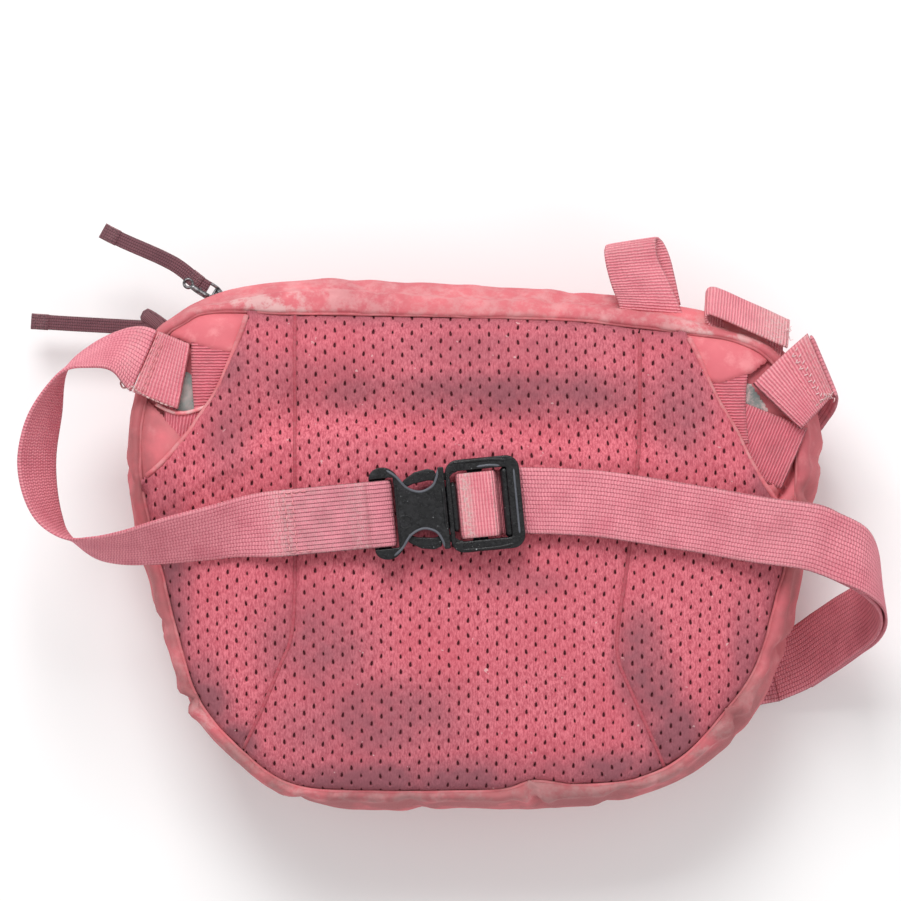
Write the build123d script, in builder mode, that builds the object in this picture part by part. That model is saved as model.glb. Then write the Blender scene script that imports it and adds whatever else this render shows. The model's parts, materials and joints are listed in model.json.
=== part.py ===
"""Waist pack with a mesh back panel, two zipped compartments and a 25 mm webbing belt.

The pack lies on its front: the floor is z = 0, the back panel faces +Z, the top
edge with the zips faces +Y, and the wearer's buckle lies across the back panel.
"""

import os
from math import cos, radians, sin

from build123d import *

os.makedirs("parts", exist_ok=True)

# ---------------------------------------------------------------- driving dimensions (mm)
webbing_width = 25.0
webbing_thickness = 1.4
fabric_thickness = 1.5
seam_height = 12.0          # seam between the front panel and the gusset
gusset_top = 65.0           # seam between the gusset and the back panel
lining_height = 61.0
foam_bottom = 62.2
foam_top = 68.0
mesh_bottom = 70.0
mesh_top = 72.6
yoke_height = 69.0
buckle_height = 82.5        # middle of the buckle's thickness
buckle_centre = (-8.7, 14.3)
buckle_tilt = 5.5           # degrees, belt line against the X axis
main_zip_height = 40.0
front_zip_height = 18.0

# Outline of the pack seen on its back panel, at its widest, anticlockwise from the left side.
widest = [
    (-129, 40),
    (-127, 8),
    (-115, -34),
    (-98, -73),
    (-63, -96.5),
    (0, -100),
    (62, -96),
    (97, -77),
    (118, -44),
    (130, 12),
    (132, 46),
    (118, 73),
    (80, 89),
    (0, 97),
    (-66, 98.5),
    (-112, 85),
]


# ---------------------------------------------------------------- helpers
def inset_points(side, top):
    """The widest outline moved towards its centre, by `top` mm along the top edge."""
    moved = []
    for x, y in widest:
        inset = top if y > 60 else side
        scale = 1 - inset / (x * x + y * y) ** 0.5
        moved.append((x * scale, y * scale))
    return moved


def outline(height, side, top):
    """A face of the pack's outline at one height."""
    with BuildSketch(Plane.XY.offset(height)) as face:
        with BuildLine():
            Spline(*inset_points(side, top), periodic=True)
        make_face()
    return face.sketch


def shell_faces(stations, wall):
    """Outlines at (height, side inset, top inset), each moved in by `wall`."""
    return [outline(height, side + wall, top + wall) for height, side, top in stations]


def band(stations, thickness, lift):
    """Rectangles across flat webbing, one at each pair of edge points."""
    centres = [(Vector(*a) + Vector(*b)) * 0.5 for a, b in stations]
    sections = []
    for index, (edge_a, edge_b) in enumerate(stations):
        across = (Vector(*edge_b) - Vector(*edge_a)).normalized()
        before = centres[max(index - 1, 0)]
        after = centres[min(index + 1, len(centres) - 1)]
        along = after - before
        along = (along - across * along.dot(across)).normalized()
        with BuildSketch(Plane(origin=centres[index], x_dir=across, z_dir=along)) as section:
            with Locations((0, lift)):
                Rectangle(webbing_width, thickness)
        sections.append(section.sketch)
    return sections


def belt_point(along, across, height):
    """A point given along and across the buckle's axis, above its middle."""
    angle = radians(buckle_tilt)
    x = buckle_centre[0] + along * cos(angle) - across * sin(angle)
    y = buckle_centre[1] + along * sin(angle) + across * cos(angle)
    return (x, y, buckle_height + height)


def belt_station(along, height):
    """A pair of webbing edge points square to the buckle's axis."""
    half = webbing_width / 2
    return (belt_point(along, half, height), belt_point(along, -half, height))


def finish(builder, name):
    """Label a piece and write its STEP file."""
    builder.part.label = name
    export_step(builder.part, f"parts/{name}.step")


# ---------------------------------------------------------------- shell: front panel and gusset
# (height, inset at the sides and bottom, inset at the top edge)
front_stations = [(0, 42, 46), (5, 28, 32), (seam_height, 16, 22)]
gusset_stations = [
    (seam_height, 16, 22),
    (24, 4, 10),
    (40, 0, 5),
    (53, 1.5, 0),
    (gusset_top, 5.5, 10),
]

with BuildPart() as front_panel:
    for face in shell_faces(front_stations, 0):
        add(face)
    loft()
    inner_stations = [(z + fabric_thickness, side, top) for z, side, top in front_stations]
    for face in shell_faces(inner_stations, fabric_thickness):
        add(face)
    loft(mode=Mode.SUBTRACT)
finish(front_panel, "front_panel")


def zip_plane(start, end, height):
    """Plane of a zip's outer tape face: x along the zip, normal out of the top edge."""
    middle = ((start[0] + end[0]) / 2, (start[1] + end[1]) / 2, height)
    along = Vector(end[0] - start[0], end[1] - start[1], 0).normalized()
    return Plane(origin=middle, x_dir=along, z_dir=Vector(-along.Y, along.X, 0))


main_zip_ends = ((-100, 88.6), (84, 84.6))
front_zip_ends = ((-98, 76.4), (68, 76.4))
main_zip_plane = zip_plane(*main_zip_ends, main_zip_height)
front_zip_plane = zip_plane(*front_zip_ends, front_zip_height)
main_zip_length = main_zip_ends[1][0] - main_zip_ends[0][0]
front_zip_length = front_zip_ends[1][0] - front_zip_ends[0][0]
tape_width = 11.0
tape_thickness = 0.8

with BuildPart() as gusset:
    for face in shell_faces(gusset_stations, 0):
        add(face)
    loft()
    for face in shell_faces(gusset_stations, fabric_thickness):
        add(face)
    loft(mode=Mode.SUBTRACT)
    for plane, length in ((main_zip_plane, main_zip_length), (front_zip_plane, front_zip_length)):
        with BuildSketch(plane.offset(-12)):
            Rectangle(length + 0.6, tape_width + 0.6)
        extrude(amount=40, mode=Mode.SUBTRACT)
finish(gusset, "gusset")

with BuildPart() as compartment_divider:
    add(outline(28, 6.5, 11.5))
    extrude(amount=0.8)
finish(compartment_divider, "compartment_divider")

# ---------------------------------------------------------------- back panel layers
left_edge = [(-160, 10), (-124.5, 24.2), (-102, 49.4), (-90, 73.6), (-82, 91), (-80, 130)]
right_edge = [(160, -20), (112.5, 21.5), (102, 42.3), (87, 70.6), (81, 84), (80, 130)]
left_seam = [(-66.8, 130), (-66.8, -33), (-72, -46), (-92, -91), (-100, -130)]
right_seam = [(64.3, 130), (64, 40), (57, -26), (56, -44), (73.6, -85.3), (84, -130)]


def back_layer(bottom, top, side, border):
    """Part of the back panel's outline inside one closed border."""
    with BuildPart() as layer:
        add(outline(bottom, side, side + 5))
        extrude(amount=top - bottom)
        with BuildSketch(Plane.XY.offset(bottom - 1)):
            with BuildLine():
                Polyline(*border, close=True)
            make_face()
        extrude(amount=top - bottom + 2, mode=Mode.INTERSECT)
    return layer


mesh_borders = {
    "back_mesh_center": left_seam + right_seam[::-1],
    "back_mesh_left": left_edge + left_seam + [(-160, -130)],
    "back_mesh_right": right_edge + right_seam + [(160, -130)],
}
for name, border in mesh_borders.items():
    finish(back_layer(mesh_bottom, mesh_top, 7, border), name)

foam_border = left_edge + right_edge[::-1] + [(160, -130), (-160, -130)]
finish(back_layer(foam_bottom, foam_top, 9, foam_border), "back_foam_pad")

with BuildPart() as back_lining:
    add(outline(lining_height, 8, 11))
    extrude(amount=0.9)
finish(back_lining, "back_lining")

wing_borders = {
    "corner_wing_left": left_edge + [(-160, 130)],
    "corner_wing_right": right_edge + [(160, 130)],
}
for name, border in wing_borders.items():
    finish(back_layer(foam_bottom, foam_bottom + fabric_thickness, 7.6, border), name)

with BuildPart() as back_piping:
    add(outline(gusset_top + 0.2, 4.5, 9.2))
    extrude(amount=2.6)
    add(outline(gusset_top + 0.2, 7.2, 12))
    extrude(amount=2.6, mode=Mode.SUBTRACT)
finish(back_piping, "back_piping")

# ---------------------------------------------------------------- zips
slider_length = 10.0
slider_rest = 7.0           # slider's middle from the start of its zip
hinge_lift = 5.6            # pull hinge above the tape


def make_zip(prefix, plane, length):
    """Tape pair and closed coil of one zip."""
    with BuildPart() as tape:
        with BuildSketch(plane.offset(-tape_thickness)):
            Rectangle(length, tape_width)
        extrude(amount=tape_thickness)
    finish(tape, f"{prefix}_zip_tape")
    with BuildPart() as coil:
        with BuildSketch(plane):
            Rectangle(length - 4, 4)
        extrude(amount=1.6)
    finish(coil, f"{prefix}_zip_coil")


def make_slider(prefix, plane, length):
    """Cast slider over the coil, with the bridge that holds its pull."""
    middle = -length / 2 + slider_rest
    with BuildPart() as slider:
        with BuildSketch(plane.offset(0.3)):
            with Locations((middle, 0)):
                RectangleRounded(slider_length, 8.4, 2.2)
        extrude(amount=3.3)
        with BuildSketch(plane.offset(0.2)):
            with Locations((middle, 0)):
                Rectangle(slider_length + 2, 4.6)
        extrude(amount=1.8, mode=Mode.SUBTRACT)
        with BuildSketch(plane.offset(3.6)):
            for side in (-3.2, 3.2):
                with Locations((middle + side, 0)):
                    Rectangle(1.2, 2.4)
        extrude(amount=4.0)
        with BuildSketch(plane.offset(6.6)):
            with Locations((middle, 0)):
                Rectangle(7.6, 2.4)
        extrude(amount=1.2)
    finish(slider, f"{prefix}_zip_slider")


def make_pull(prefix, plane, length, direction, tape_length):
    """Metal link on the slider's bridge and the flat tape pull threaded through it."""
    start = plane.from_local_coords(Vector(-length / 2 + slider_rest, 0, hinge_lift - 0.4))
    angle = radians(direction)
    aim = Vector(cos(angle), sin(angle), 0)
    link_plane = Plane(origin=start, x_dir=aim, z_dir=aim.cross(Vector(0, 0, 1)))
    with BuildPart() as link:
        with BuildSketch(link_plane.offset(-0.5)):
            with Locations((6.7, 0)):
                RectangleRounded(15, 5.6, 1.4)
            with Locations((2.9, 0)):
                Rectangle(5.8, 3.4, mode=Mode.SUBTRACT)
            with Locations((11.2, 0)):
                Rectangle(2.6, 3.2, mode=Mode.SUBTRACT)
        extrude(amount=1)
    finish(link, f"{prefix}_pull_link")
    tape_plane = Plane(origin=start + aim * 15, x_dir=aim, z_dir=(0, 0, 1))
    with BuildPart() as pull:
        with BuildSketch(tape_plane.offset(-0.9)):
            with Locations((tape_length / 2, 0)):
                RectangleRounded(tape_length, 6.2, 0.8)
        extrude(amount=1.8)
        with BuildSketch(tape_plane.offset(-0.6)):
            with Locations((-1.8, 0)):
                Rectangle(4.4, 0.8)
        extrude(amount=1.2)
    finish(pull, f"{prefix}_pull_tape")


make_zip("main", main_zip_plane, main_zip_length)
make_zip("front", front_zip_plane, front_zip_length)
make_slider("main", main_zip_plane, main_zip_length)
make_slider("front", front_zip_plane, front_zip_length)
make_pull("main", main_zip_plane, main_zip_length, direction=151, tape_length=41)
make_pull("front", front_zip_plane, front_zip_length, direction=176, tape_length=66)

with BuildPart() as zip_end_tab:
    with BuildSketch(Plane.XY.offset(45)):
        with BuildLine():
            Polyline((-116.4, 79.6), (-123.4, 84.6), (-121.4, 88.6), (-113.9, 84.6), close=True)
        make_face()
    extrude(amount=5)
finish(zip_end_tab, "zip_end_tab")

# ---------------------------------------------------------------- belt yokes in the top corners
def make_band(name, stations, thickness=webbing_thickness, lift=0.0):
    """One webbing piece as a ruled solid, written under its name."""
    with BuildPart() as webbing:
        for face in band(stations, thickness, lift):
            add(face)
        loft(ruled=True)
    finish(webbing, name)


yoke_corners = {
    "yoke_left": [(-105.5, 78), (-80.5, 78), (-105.5, 54), (-80.5, 54)],
    "yoke_left_lower": [(-97.5, 52.8), (-105, 29), (-118, 55.5), (-121, 31)],
    "yoke_right": [(105, 66), (80, 66), (105, 54.6), (80, 54.6)],
    "yoke_right_lower": [(104.5, 53.5), (95, 30.5), (128, 44), (118, 21)],
}
for name, corners in yoke_corners.items():
    top_left, top_right, low_left, low_right = [(x, y, yoke_height) for x, y in corners]
    make_band(name, [(top_left, top_right), (low_left, low_right)])

# The belt ends are turned under and stitched down over the lower yoke webbing.
hem_low = 70.75
hem_high = 72.15
hem_middle = (hem_low + hem_high) / 2
hem_plans = {
    "belt_left_end": [
        ((-127.5, 58.2), (-118.0, 80.5)),
        ((-111.4, 52.1), (-107.0, 75.8)),
        ((-110.8, 51.9), (-106.4, 75.6)),
    ],
    "belt_right_end": [
        ((127.6, 80.0), (137.4, 57.0)),
        ((108.6, 62.6), (126.4, 45.0)),
        ((108.0, 62.0), (125.8, 44.4)),
    ],
}
for name, (outer, inner, fold) in hem_plans.items():
    path = [(outer, hem_low), (inner, hem_low), (fold, hem_middle), (inner, hem_high),
            (outer, hem_high)]
    make_band(name, [((*a, height), (*b, height)) for (a, b), height in path], thickness=1.2)

lining_corners = {
    "sleeve_lining_left": [(-112, 50), (-103, 50), (-103, 68), (-108, 68)],
    "sleeve_lining_right": [(103, 50), (116, 50), (112, 62), (103, 64)],
}
for name, corners in lining_corners.items():
    with BuildPart() as lining_patch:
        with BuildSketch(Plane.XY.offset(foam_bottom + fabric_thickness + 0.2)):
            with BuildLine():
                Polyline(*corners, close=True)
            make_face()
        extrude(amount=0.6)
    finish(lining_patch, name)

# ---------------------------------------------------------------- left belt, one half twist each way
make_band("belt_left", [
    belt_station(-62, -2.6),
    ((-86.0, 18.1, 87.0), (-86.0, -4.2, 76.6)),
    ((-98.1, 14.7, 90.5), (-98.1, -5.3, 76.2)),
    ((-117.7, 9.1, 91.5), (-117.0, -6.8, 73.4)),
    ((-129.8, 5.7, 90.0), (-132.1, -7.2, 68.8)),
    ((-141.5, 3.2, 87.5), (-143.4, -4.5, 63.8)),
    ((-152.4, 3.0, 85.5), (-152.6, 3.4, 60.5)),
    ((-162.3, 9.4, 84.5), (-155.8, 11.3, 60.5)),
    ((-167.9, 20.8, 84.0), (-157.5, 22.0, 61.5)),
    ((-169.4, 34.3, 84.0), (-157.7, 34.3, 62.0)),
    ((-164.9, 50.2, 85.0), (-155.8, 49.0, 62.0)),
    ((-154.0, 64.5, 85.5), (-153.5, 66.5, 60.5)),
    ((-143.0, 67.0, 84.0), (-144.0, 76.0, 60.5)),
    ((-134.5, 65.5, 79.0), (-130.5, 82.3, 61.0)),
    ((-128.0, 58.4, 72.2), (-118.5, 80.7, 72.2)),
])
make_band("belt_left_buckle_fold", [
    belt_station(-61.8, -2.6),
    belt_station(-34, -0.6),
    belt_station(-28, 2.6),
    belt_station(-22.4, 2.9),
    belt_station(-20.7, 1.6),
    belt_station(-20.7, -1.6),
    belt_station(-22.4, -2.9),
    belt_station(-28, -2.6),
    belt_station(-34, -3.4),
    belt_station(-61.8, -4.6),
], thickness=1.2)

# ---------------------------------------------------------------- side-release buckle
buckle_plane = Plane(
    origin=belt_point(0, 0, 0),
    x_dir=(cos(radians(buckle_tilt)), sin(radians(buckle_tilt)), 0),
    z_dir=(0, 0, 1),
)
female_thickness = 8.4
male_thickness = 6.4
slot_half = 13.2

with BuildPart() as buckle_female:
    with BuildSketch(buckle_plane.offset(-female_thickness / 2)):
        with BuildLine() as female_outline:
            Spline((-28.3, 12), (-26.6, 16.4), (-22, 17.2), (-18.2, 14.6), (-14.6, 9.2),
                   (-9.5, 7.2), (-5.2, 8.8), (-3.0, 12), (-2.3, 15.4))
            Line((-2.3, 15.4), (0, 15.4))
            Line((0, 15.4), (0, 0))
            Line((0, 0), (-28.3, 0))
            Line((-28.3, 0), (-28.3, 12))
        make_face()
        mirror(about=Plane.XZ)
    extrude(amount=female_thickness)
    with BuildSketch(buckle_plane.offset(-2.6)):
        with Locations((-9, 0)):
            Rectangle(18, 2 * slot_half)
    extrude(amount=5.2, mode=Mode.SUBTRACT)
    with BuildSketch(buckle_plane.offset(-10)):
        with Locations((-20.7, 0)):
            Rectangle(3.0, 2 * slot_half)
    extrude(amount=20, mode=Mode.SUBTRACT)
    for side in (1.75, -1.75 - 6):
        with BuildSketch(buckle_plane.offset(side)):
            with Locations((-26.3, 0)):
                Rectangle(8.4, 2 * slot_half)
        extrude(amount=6, mode=Mode.SUBTRACT)
finish(buckle_female, "buckle_female")

with BuildPart() as buckle_male:
    with BuildSketch(buckle_plane.offset(-male_thickness / 2)):
        with Locations((14.3, 0)):
            RectangleRounded(28, 35, 5)
        with Locations((12.8, 0)):
            Rectangle(21.2, 2 * slot_half, mode=Mode.SUBTRACT)
    extrude(amount=male_thickness)
    with BuildSketch(buckle_plane.offset(-2.45)):
        for side in (-1, 1):
            with Locations((2.9, side * 13.4)):
                Rectangle(6.2, 9.4)
    extrude(amount=4.9, mode=Mode.SUBTRACT)
    with BuildSketch(buckle_plane.offset(-1.2)):
        with Locations((11.5, 0)):
            Rectangle(5.6, 2 * slot_half + 1)
    extrude(amount=2.8)
    with BuildSketch(buckle_plane.offset(-2.2)):
        Rectangle(4.6, 15.2)
        with Locations((-7, 0)):
            Rectangle(12, 4)
    extrude(amount=4.4)
finish(buckle_male, "buckle_male")

prong_hinge = (3.9, 14.3)


def make_prong(name, side):
    """Springy side arm of the male half, with the barb that catches the female's mouth."""
    arm = [(3.9, 15.9), (0.1, 12.9), (-3.1, 12.9), (-3.3, 14.3), (-6, 15.2), (-11, 14.4),
           (-15, 12), (-17.3, 9.6), (-16.2, 8.4), (-12, 10), (-6, 10.8), (-1.5, 9.9),
           (1.2, 10.6), (4.6, 13.6)]
    with BuildPart() as prong:
        with BuildSketch(buckle_plane.offset(-2.2)):
            with BuildLine():
                Polyline(*[(u, side * v) for u, v in arm], close=True)
            make_face()
            with Locations((prong_hinge[0], side * prong_hinge[1])):
                Circle(1.6)
        extrude(amount=4.4)
    finish(prong, name)


make_prong("prong_upper", 1)
make_prong("prong_lower", -1)

# ---------------------------------------------------------------- right belt
make_band("belt_right_loop", [
    belt_station(27.9, -4.1),
    belt_station(23.6, -4.0),
    belt_station(19.4, -1.2),
    belt_station(17.2, 1.4),
    belt_station(14.6, 2.7),
    belt_station(8.2, 2.8),
    belt_station(5.2, 2.0),
    belt_station(4.6, -0.4),
    belt_station(5.4, -2.8),
    belt_station(8.0, -4.8),
    belt_station(16, -6.0),
    belt_station(27.9, -6.1),
], thickness=1.2)

belt_right_upper = [
    belt_station(28.3, -4.1),
    ((48.8, 28.0, 78.6), (46.6, 3.4, 78.6)),
    ((78.9, 23.6, 78.4), (75.5, -1.0, 77.4)),
    ((112.5, 18.1, 79.4), (107.5, -6.2, 77.6)),
    ((130.9, 15.3, 80.4), (126.0, -9.0, 78.2)),
    ((140.0, 10.8, 79.0), (137.0, -12.6, 80.2)),
    ((148.4, 4.0, 72.6), (146.0, -16.0, 79.6)),
    ((153.8, -4.4, 60.6), (153.0, -20.6, 74.4)),
    ((153.6, -9.0, 48.4), (156.6, -26.6, 63.6)),
    ((149.6, -12.6, 38.2), (155.4, -32.6, 51.0)),
    ((142.4, -16.4, 28.4), (149.4, -38.4, 38.0)),
    ((134.8, -21.8, 20.2), (141.4, -44.6, 25.6)),
    ((127.2, -27.6, 13.4), (133.4, -51.0, 15.4)),
    ((117.0, -32.4, 8.4), (122.6, -56.6, 8.6)),
]
make_band("belt_right", belt_right_upper)
make_band("belt_right_tail", belt_right_upper[:12], thickness=1.2, lift=2.0)

# The hidden end is folded flat under the flank and climbs outside the corner to the yoke.
make_band("belt_right_under", [
    ((116.8, -32.5, 8.2), (122.4, -56.7, 8.4)),
    ((104.0, -36.0, 6.6), (107.6, -60.6, 6.6)),
    ((98.4, -34.6, 5.0), (91.6, -58.6, 5.0)),
    ((114.0, -36.0, 2.2), (90.2, -43.4, 2.2)),
    ((123.0, -12.0, 1.8), (98.6, -7.0, 1.8)),
    ((126.0, 13.8, 2.2), (101.8, 19.8, 2.0)),
    ((132.6, 34.6, 6.6), (109.4, 43.6, 6.2)),
    ((139.4, 45.8, 20.6), (121.4, 62.8, 19.8)),
    ((141.2, 51.0, 40.0), (127.6, 72.0, 39.6)),
    ((140.6, 55.4, 56.0), (130.6, 78.2, 56.0)),
    ((138.6, 56.2, 71.6), (128.8, 79.2, 71.6)),
])

# ---------------------------------------------------------------- loops on the top edge
make_band("haul_loop", [
    ((52.6, 87.6, 60.0), (77.2, 84.4, 60.0)),
    ((52.4, 99.0, 66.0), (76.0, 101.0, 63.0)),
    ((51.8, 108.0, 66.5), (75.6, 110.5, 60.5)),
    ((51.6, 113.6, 63.5), (75.4, 116.0, 57.5)),
    ((51.6, 114.8, 59.0), (75.8, 117.0, 53.5)),
    ((52.0, 111.4, 54.8), (76.6, 113.4, 50.0)),
    ((52.6, 103.0, 52.2), (77.6, 104.0, 48.6)),
    ((52.6, 93.6, 51.6), (77.4, 91.2, 49.0)),
])
make_band("lash_loop", [
    ((122.8, 80.8, 66.0), (119.8, 77.0, 47.0)),
    ((105.0, 89.6, 66.6), (102.4, 84.2, 47.0)),
    ((93.6, 95.6, 67.0), (91.0, 89.4, 46.6)),
    ((89.4, 96.2, 67.0), (87.4, 90.2, 46.6)),
    ((88.4, 93.6, 66.8), (86.8, 88.0, 46.6)),
])
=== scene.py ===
"""Looks of the waist pack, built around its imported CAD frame.

Design lengths here are in millimetres and become metres when a mesh is made. The
pack lies on its front, so the padded back panel faces +Z and the zips face +Y.
"""

import json
import math

import bmesh
import bpy
import numpy as np
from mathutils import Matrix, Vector, noise
from mathutils.bvhtree import BVHTree


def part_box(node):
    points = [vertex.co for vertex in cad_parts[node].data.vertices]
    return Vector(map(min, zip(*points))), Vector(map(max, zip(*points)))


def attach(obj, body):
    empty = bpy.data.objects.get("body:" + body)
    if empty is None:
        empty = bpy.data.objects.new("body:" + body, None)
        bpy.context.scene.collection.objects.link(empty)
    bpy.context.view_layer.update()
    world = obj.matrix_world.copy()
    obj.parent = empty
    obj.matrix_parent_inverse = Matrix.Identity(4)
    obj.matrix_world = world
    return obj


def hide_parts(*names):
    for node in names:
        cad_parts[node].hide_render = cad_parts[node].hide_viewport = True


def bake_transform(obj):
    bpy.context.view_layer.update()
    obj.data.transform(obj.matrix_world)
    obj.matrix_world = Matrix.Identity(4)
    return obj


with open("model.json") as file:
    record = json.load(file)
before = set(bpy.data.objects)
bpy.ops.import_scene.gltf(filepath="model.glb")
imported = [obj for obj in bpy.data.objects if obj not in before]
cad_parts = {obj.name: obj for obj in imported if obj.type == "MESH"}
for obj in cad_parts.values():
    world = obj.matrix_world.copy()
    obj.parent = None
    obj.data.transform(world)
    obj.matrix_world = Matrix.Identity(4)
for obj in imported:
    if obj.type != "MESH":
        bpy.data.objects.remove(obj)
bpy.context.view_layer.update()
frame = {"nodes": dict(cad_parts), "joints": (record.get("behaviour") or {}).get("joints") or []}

nodes = frame["nodes"]
MM = 0.001


# ------------------------------------------------------------------ numbers and curves
def smoothstep(low, high, value):
    """0 up to `low`, 1 from `high`, and smooth between."""
    t = np.clip((np.asarray(value, float) - low) / (high - low), 0.0, 1.0)
    return t * t * (3 - 2 * t)


def bump(value, centre, width):
    """A soft hill of height 1 around a centre."""
    return np.exp(-(((np.asarray(value, float) - centre) / width) ** 2))


def rough(points, scale, seed, octaves=3):
    """Smooth noise from -1 to 1 at points given in mm, one feature every `scale` mm."""
    shift = Vector((seed * 17.3, seed * -9.1, seed * 5.7))
    return np.array([noise.fractal(Vector(p) / scale + shift, 1.0, 2.0, octaves) for p in points])


def spline(p0, p1, p2, p3, t):
    """Catmull-Rom point between p1 and p2, at share t of the way."""
    return 0.5 * (2 * p1 + (p2 - p0) * t + (2 * p0 - 5 * p1 + 4 * p2 - p3) * t * t
                  + (3 * p1 - p0 - 3 * p2 + p3) * t ** 3)


def curve_through(points, step, closed=False):
    """Catmull-Rom curve through points of any dimension, about one sample every `step` mm."""
    pts = [np.asarray(p, float) for p in points]
    count = len(pts)
    spans = count if closed else count - 1
    samples = []
    for i in range(spans):
        if closed:
            p0, p1, p2, p3 = (pts[(i + k) % count] for k in (-1, 0, 1, 2))
        else:
            p1, p2 = pts[i], pts[i + 1]
            p0 = pts[i - 1] if i else 2 * p1 - p2
            p3 = pts[i + 2] if i + 2 < count else 2 * p2 - p1
        steps = max(1, int(round(np.linalg.norm((p2 - p1)[:3]) / step)))
        samples += [spline(p0, p1, p2, p3, t) for t in np.arange(steps) / steps]
    if not closed:
        samples.append(pts[-1])
    return np.array(samples)


def inside(points, border):
    """True where plan points lie in a closed border."""
    x, y = points[:, 0], points[:, 1]
    found = np.zeros(len(points), bool)
    for (x0, y0), (x1, y1) in zip(border, np.roll(border, -1, 0)):
        if y0 != y1:
            crosses = (y0 > y) != (y1 > y)
            found ^= crosses & (x < (x1 - x0) * (y - y0) / (y1 - y0) + x0)
    return found


def nearest(points, line, closed=True):
    """Distance from plan points to a line of points, and the closest points on it."""
    ends = np.roll(line, -1, 0) if closed else line[1:]
    starts = line if closed else line[:-1]
    best = np.full(len(points), 1e9)
    where = np.zeros((len(points), 2))
    for a, b in zip(starts, ends):
        d = b - a
        t = np.clip(((points - a) @ d) / max(d @ d, 1e-12), 0, 1)
        q = a + t[:, None] * d
        r = np.hypot(*(points - q).T)
        closer = r < best
        best[closer], where[closer] = r[closer], q[closer]
    return best, where


# ------------------------------------------------------------------ meshes
def add_object(name, data):
    made = bpy.data.objects.new(name, data)
    bpy.context.scene.collection.objects.link(made)
    return made


def make_piece(name, points, faces, material, uv=None, values=None):
    """A mesh object from points in mm. `uv` is one pair in mm per point, `values` named floats."""
    mesh = bpy.data.meshes.new(name)
    mesh.from_pydata((np.asarray(points, float) * MM).tolist(), [], [list(f) for f in faces])
    corner = np.zeros(len(mesh.loops), int)
    mesh.loops.foreach_get("vertex_index", corner)
    if uv is not None:
        layer = mesh.uv_layers.new(name="UVMap")
        layer.data.foreach_set("uv", (np.asarray(uv, float)[corner] * MM).ravel())
    for key, amount in (values or {}).items():
        layer = mesh.attributes.new(key, "FLOAT", "POINT")
        layer.data.foreach_set("value", np.asarray(amount, float))
    mesh.polygons.foreach_set("use_smooth", [True] * len(mesh.polygons))
    mesh.materials.append(material)
    return add_object(name, mesh)


def place(piece, body, replaced=()):
    """Gives a piece its body and the CAD nodes that it stands for."""
    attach(piece, body)
    if replaced:
        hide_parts(*replaced)
    return piece


def add_piece(name, shape, material, body, replaced=(), wear=None, uv=None):
    """A placed piece from (points, faces); `wear` is its (worn, dirt), the same all over."""
    points, faces = shape
    values = wear and {"worn": np.full(len(points), wear[0]), "dirt": np.full(len(points), wear[1])}
    return place(make_piece(name, points, faces, material, uv, values), body, replaced)


def grid_faces(rows, columns, closed=False):
    """Quads between rows of points; `closed` joins the last column to the first."""
    faces = []
    for r in range(rows - 1):
        for c in range(columns if closed else columns - 1):
            d = (c + 1) % columns
            faces.append((r * columns + c, r * columns + d, (r + 1) * columns + d, (r + 1) * columns + c))
    return faces


def tube(line, radius, sides=8, closed=False):
    """Points and faces of a tube along a line in mm; `radius` is one number or one per point."""
    line = np.asarray(line, float)
    count = len(line)
    radii = np.broadcast_to(radius, (count,))
    if closed:
        ahead = np.roll(line, -1, 0) - np.roll(line, 1, 0)
    else:
        ahead = np.gradient(line, axis=0)
    ahead /= np.linalg.norm(ahead, axis=1)[:, None] + 1e-12
    up = np.array((0.0, 0.0, 1.0)) if abs(ahead[0][2]) < 0.9 else np.array((1.0, 0.0, 0.0))
    points = []
    for p, a, r in zip(line, ahead, radii):
        side = np.cross(a, up)
        side /= np.linalg.norm(side) + 1e-12
        up = np.cross(side, a)
        for k in range(sides):
            angle = 2 * math.pi * k / sides
            points.append(p + r * (math.cos(angle) * side + math.sin(angle) * up))
    faces = grid_faces(count, sides, closed=True)
    last = (count - 1) * sides
    if closed:
        faces += [(last + k, last + (k + 1) % sides, (k + 1) % sides, k) for k in range(sides)]
    else:
        faces.append(tuple(range(sides))[::-1])
        faces.append(tuple(last + k for k in range(sides)))
    return np.array(points), faces


def joined(parts):
    """Several (points, faces) as one."""
    points, faces, base = [], [], 0
    for p, f in parts:
        points.append(np.asarray(p, float))
        faces += [tuple(i + base for i in face) for face in f]
        base += len(p)
    return np.vstack(points), faces


def stitches(lines, length=2.3, gap=0.9, radius=0.24, bow=0.18):
    """Short raised threads along lines of 3-D points in mm."""
    parts = []
    for line in lines:
        fine = curve_through(line, 0.4)
        run = np.concatenate(([0], np.cumsum(np.linalg.norm(np.diff(fine, axis=0), axis=1))))
        start = gap / 2
        while start + length < run[-1]:
            along = np.linspace(start, start + length, 5)
            part = np.stack([np.interp(along, run, fine[:, k]) for k in range(3)], 1)
            part[:, 2] += bow * np.array((-1.2, 0.6, 1.0, 0.6, -1.2))
            parts.append(tube(part, radius * np.array((0.6, 1, 1, 1, 0.6)), sides=6))
            start += length + gap
    return joined(parts)


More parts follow.
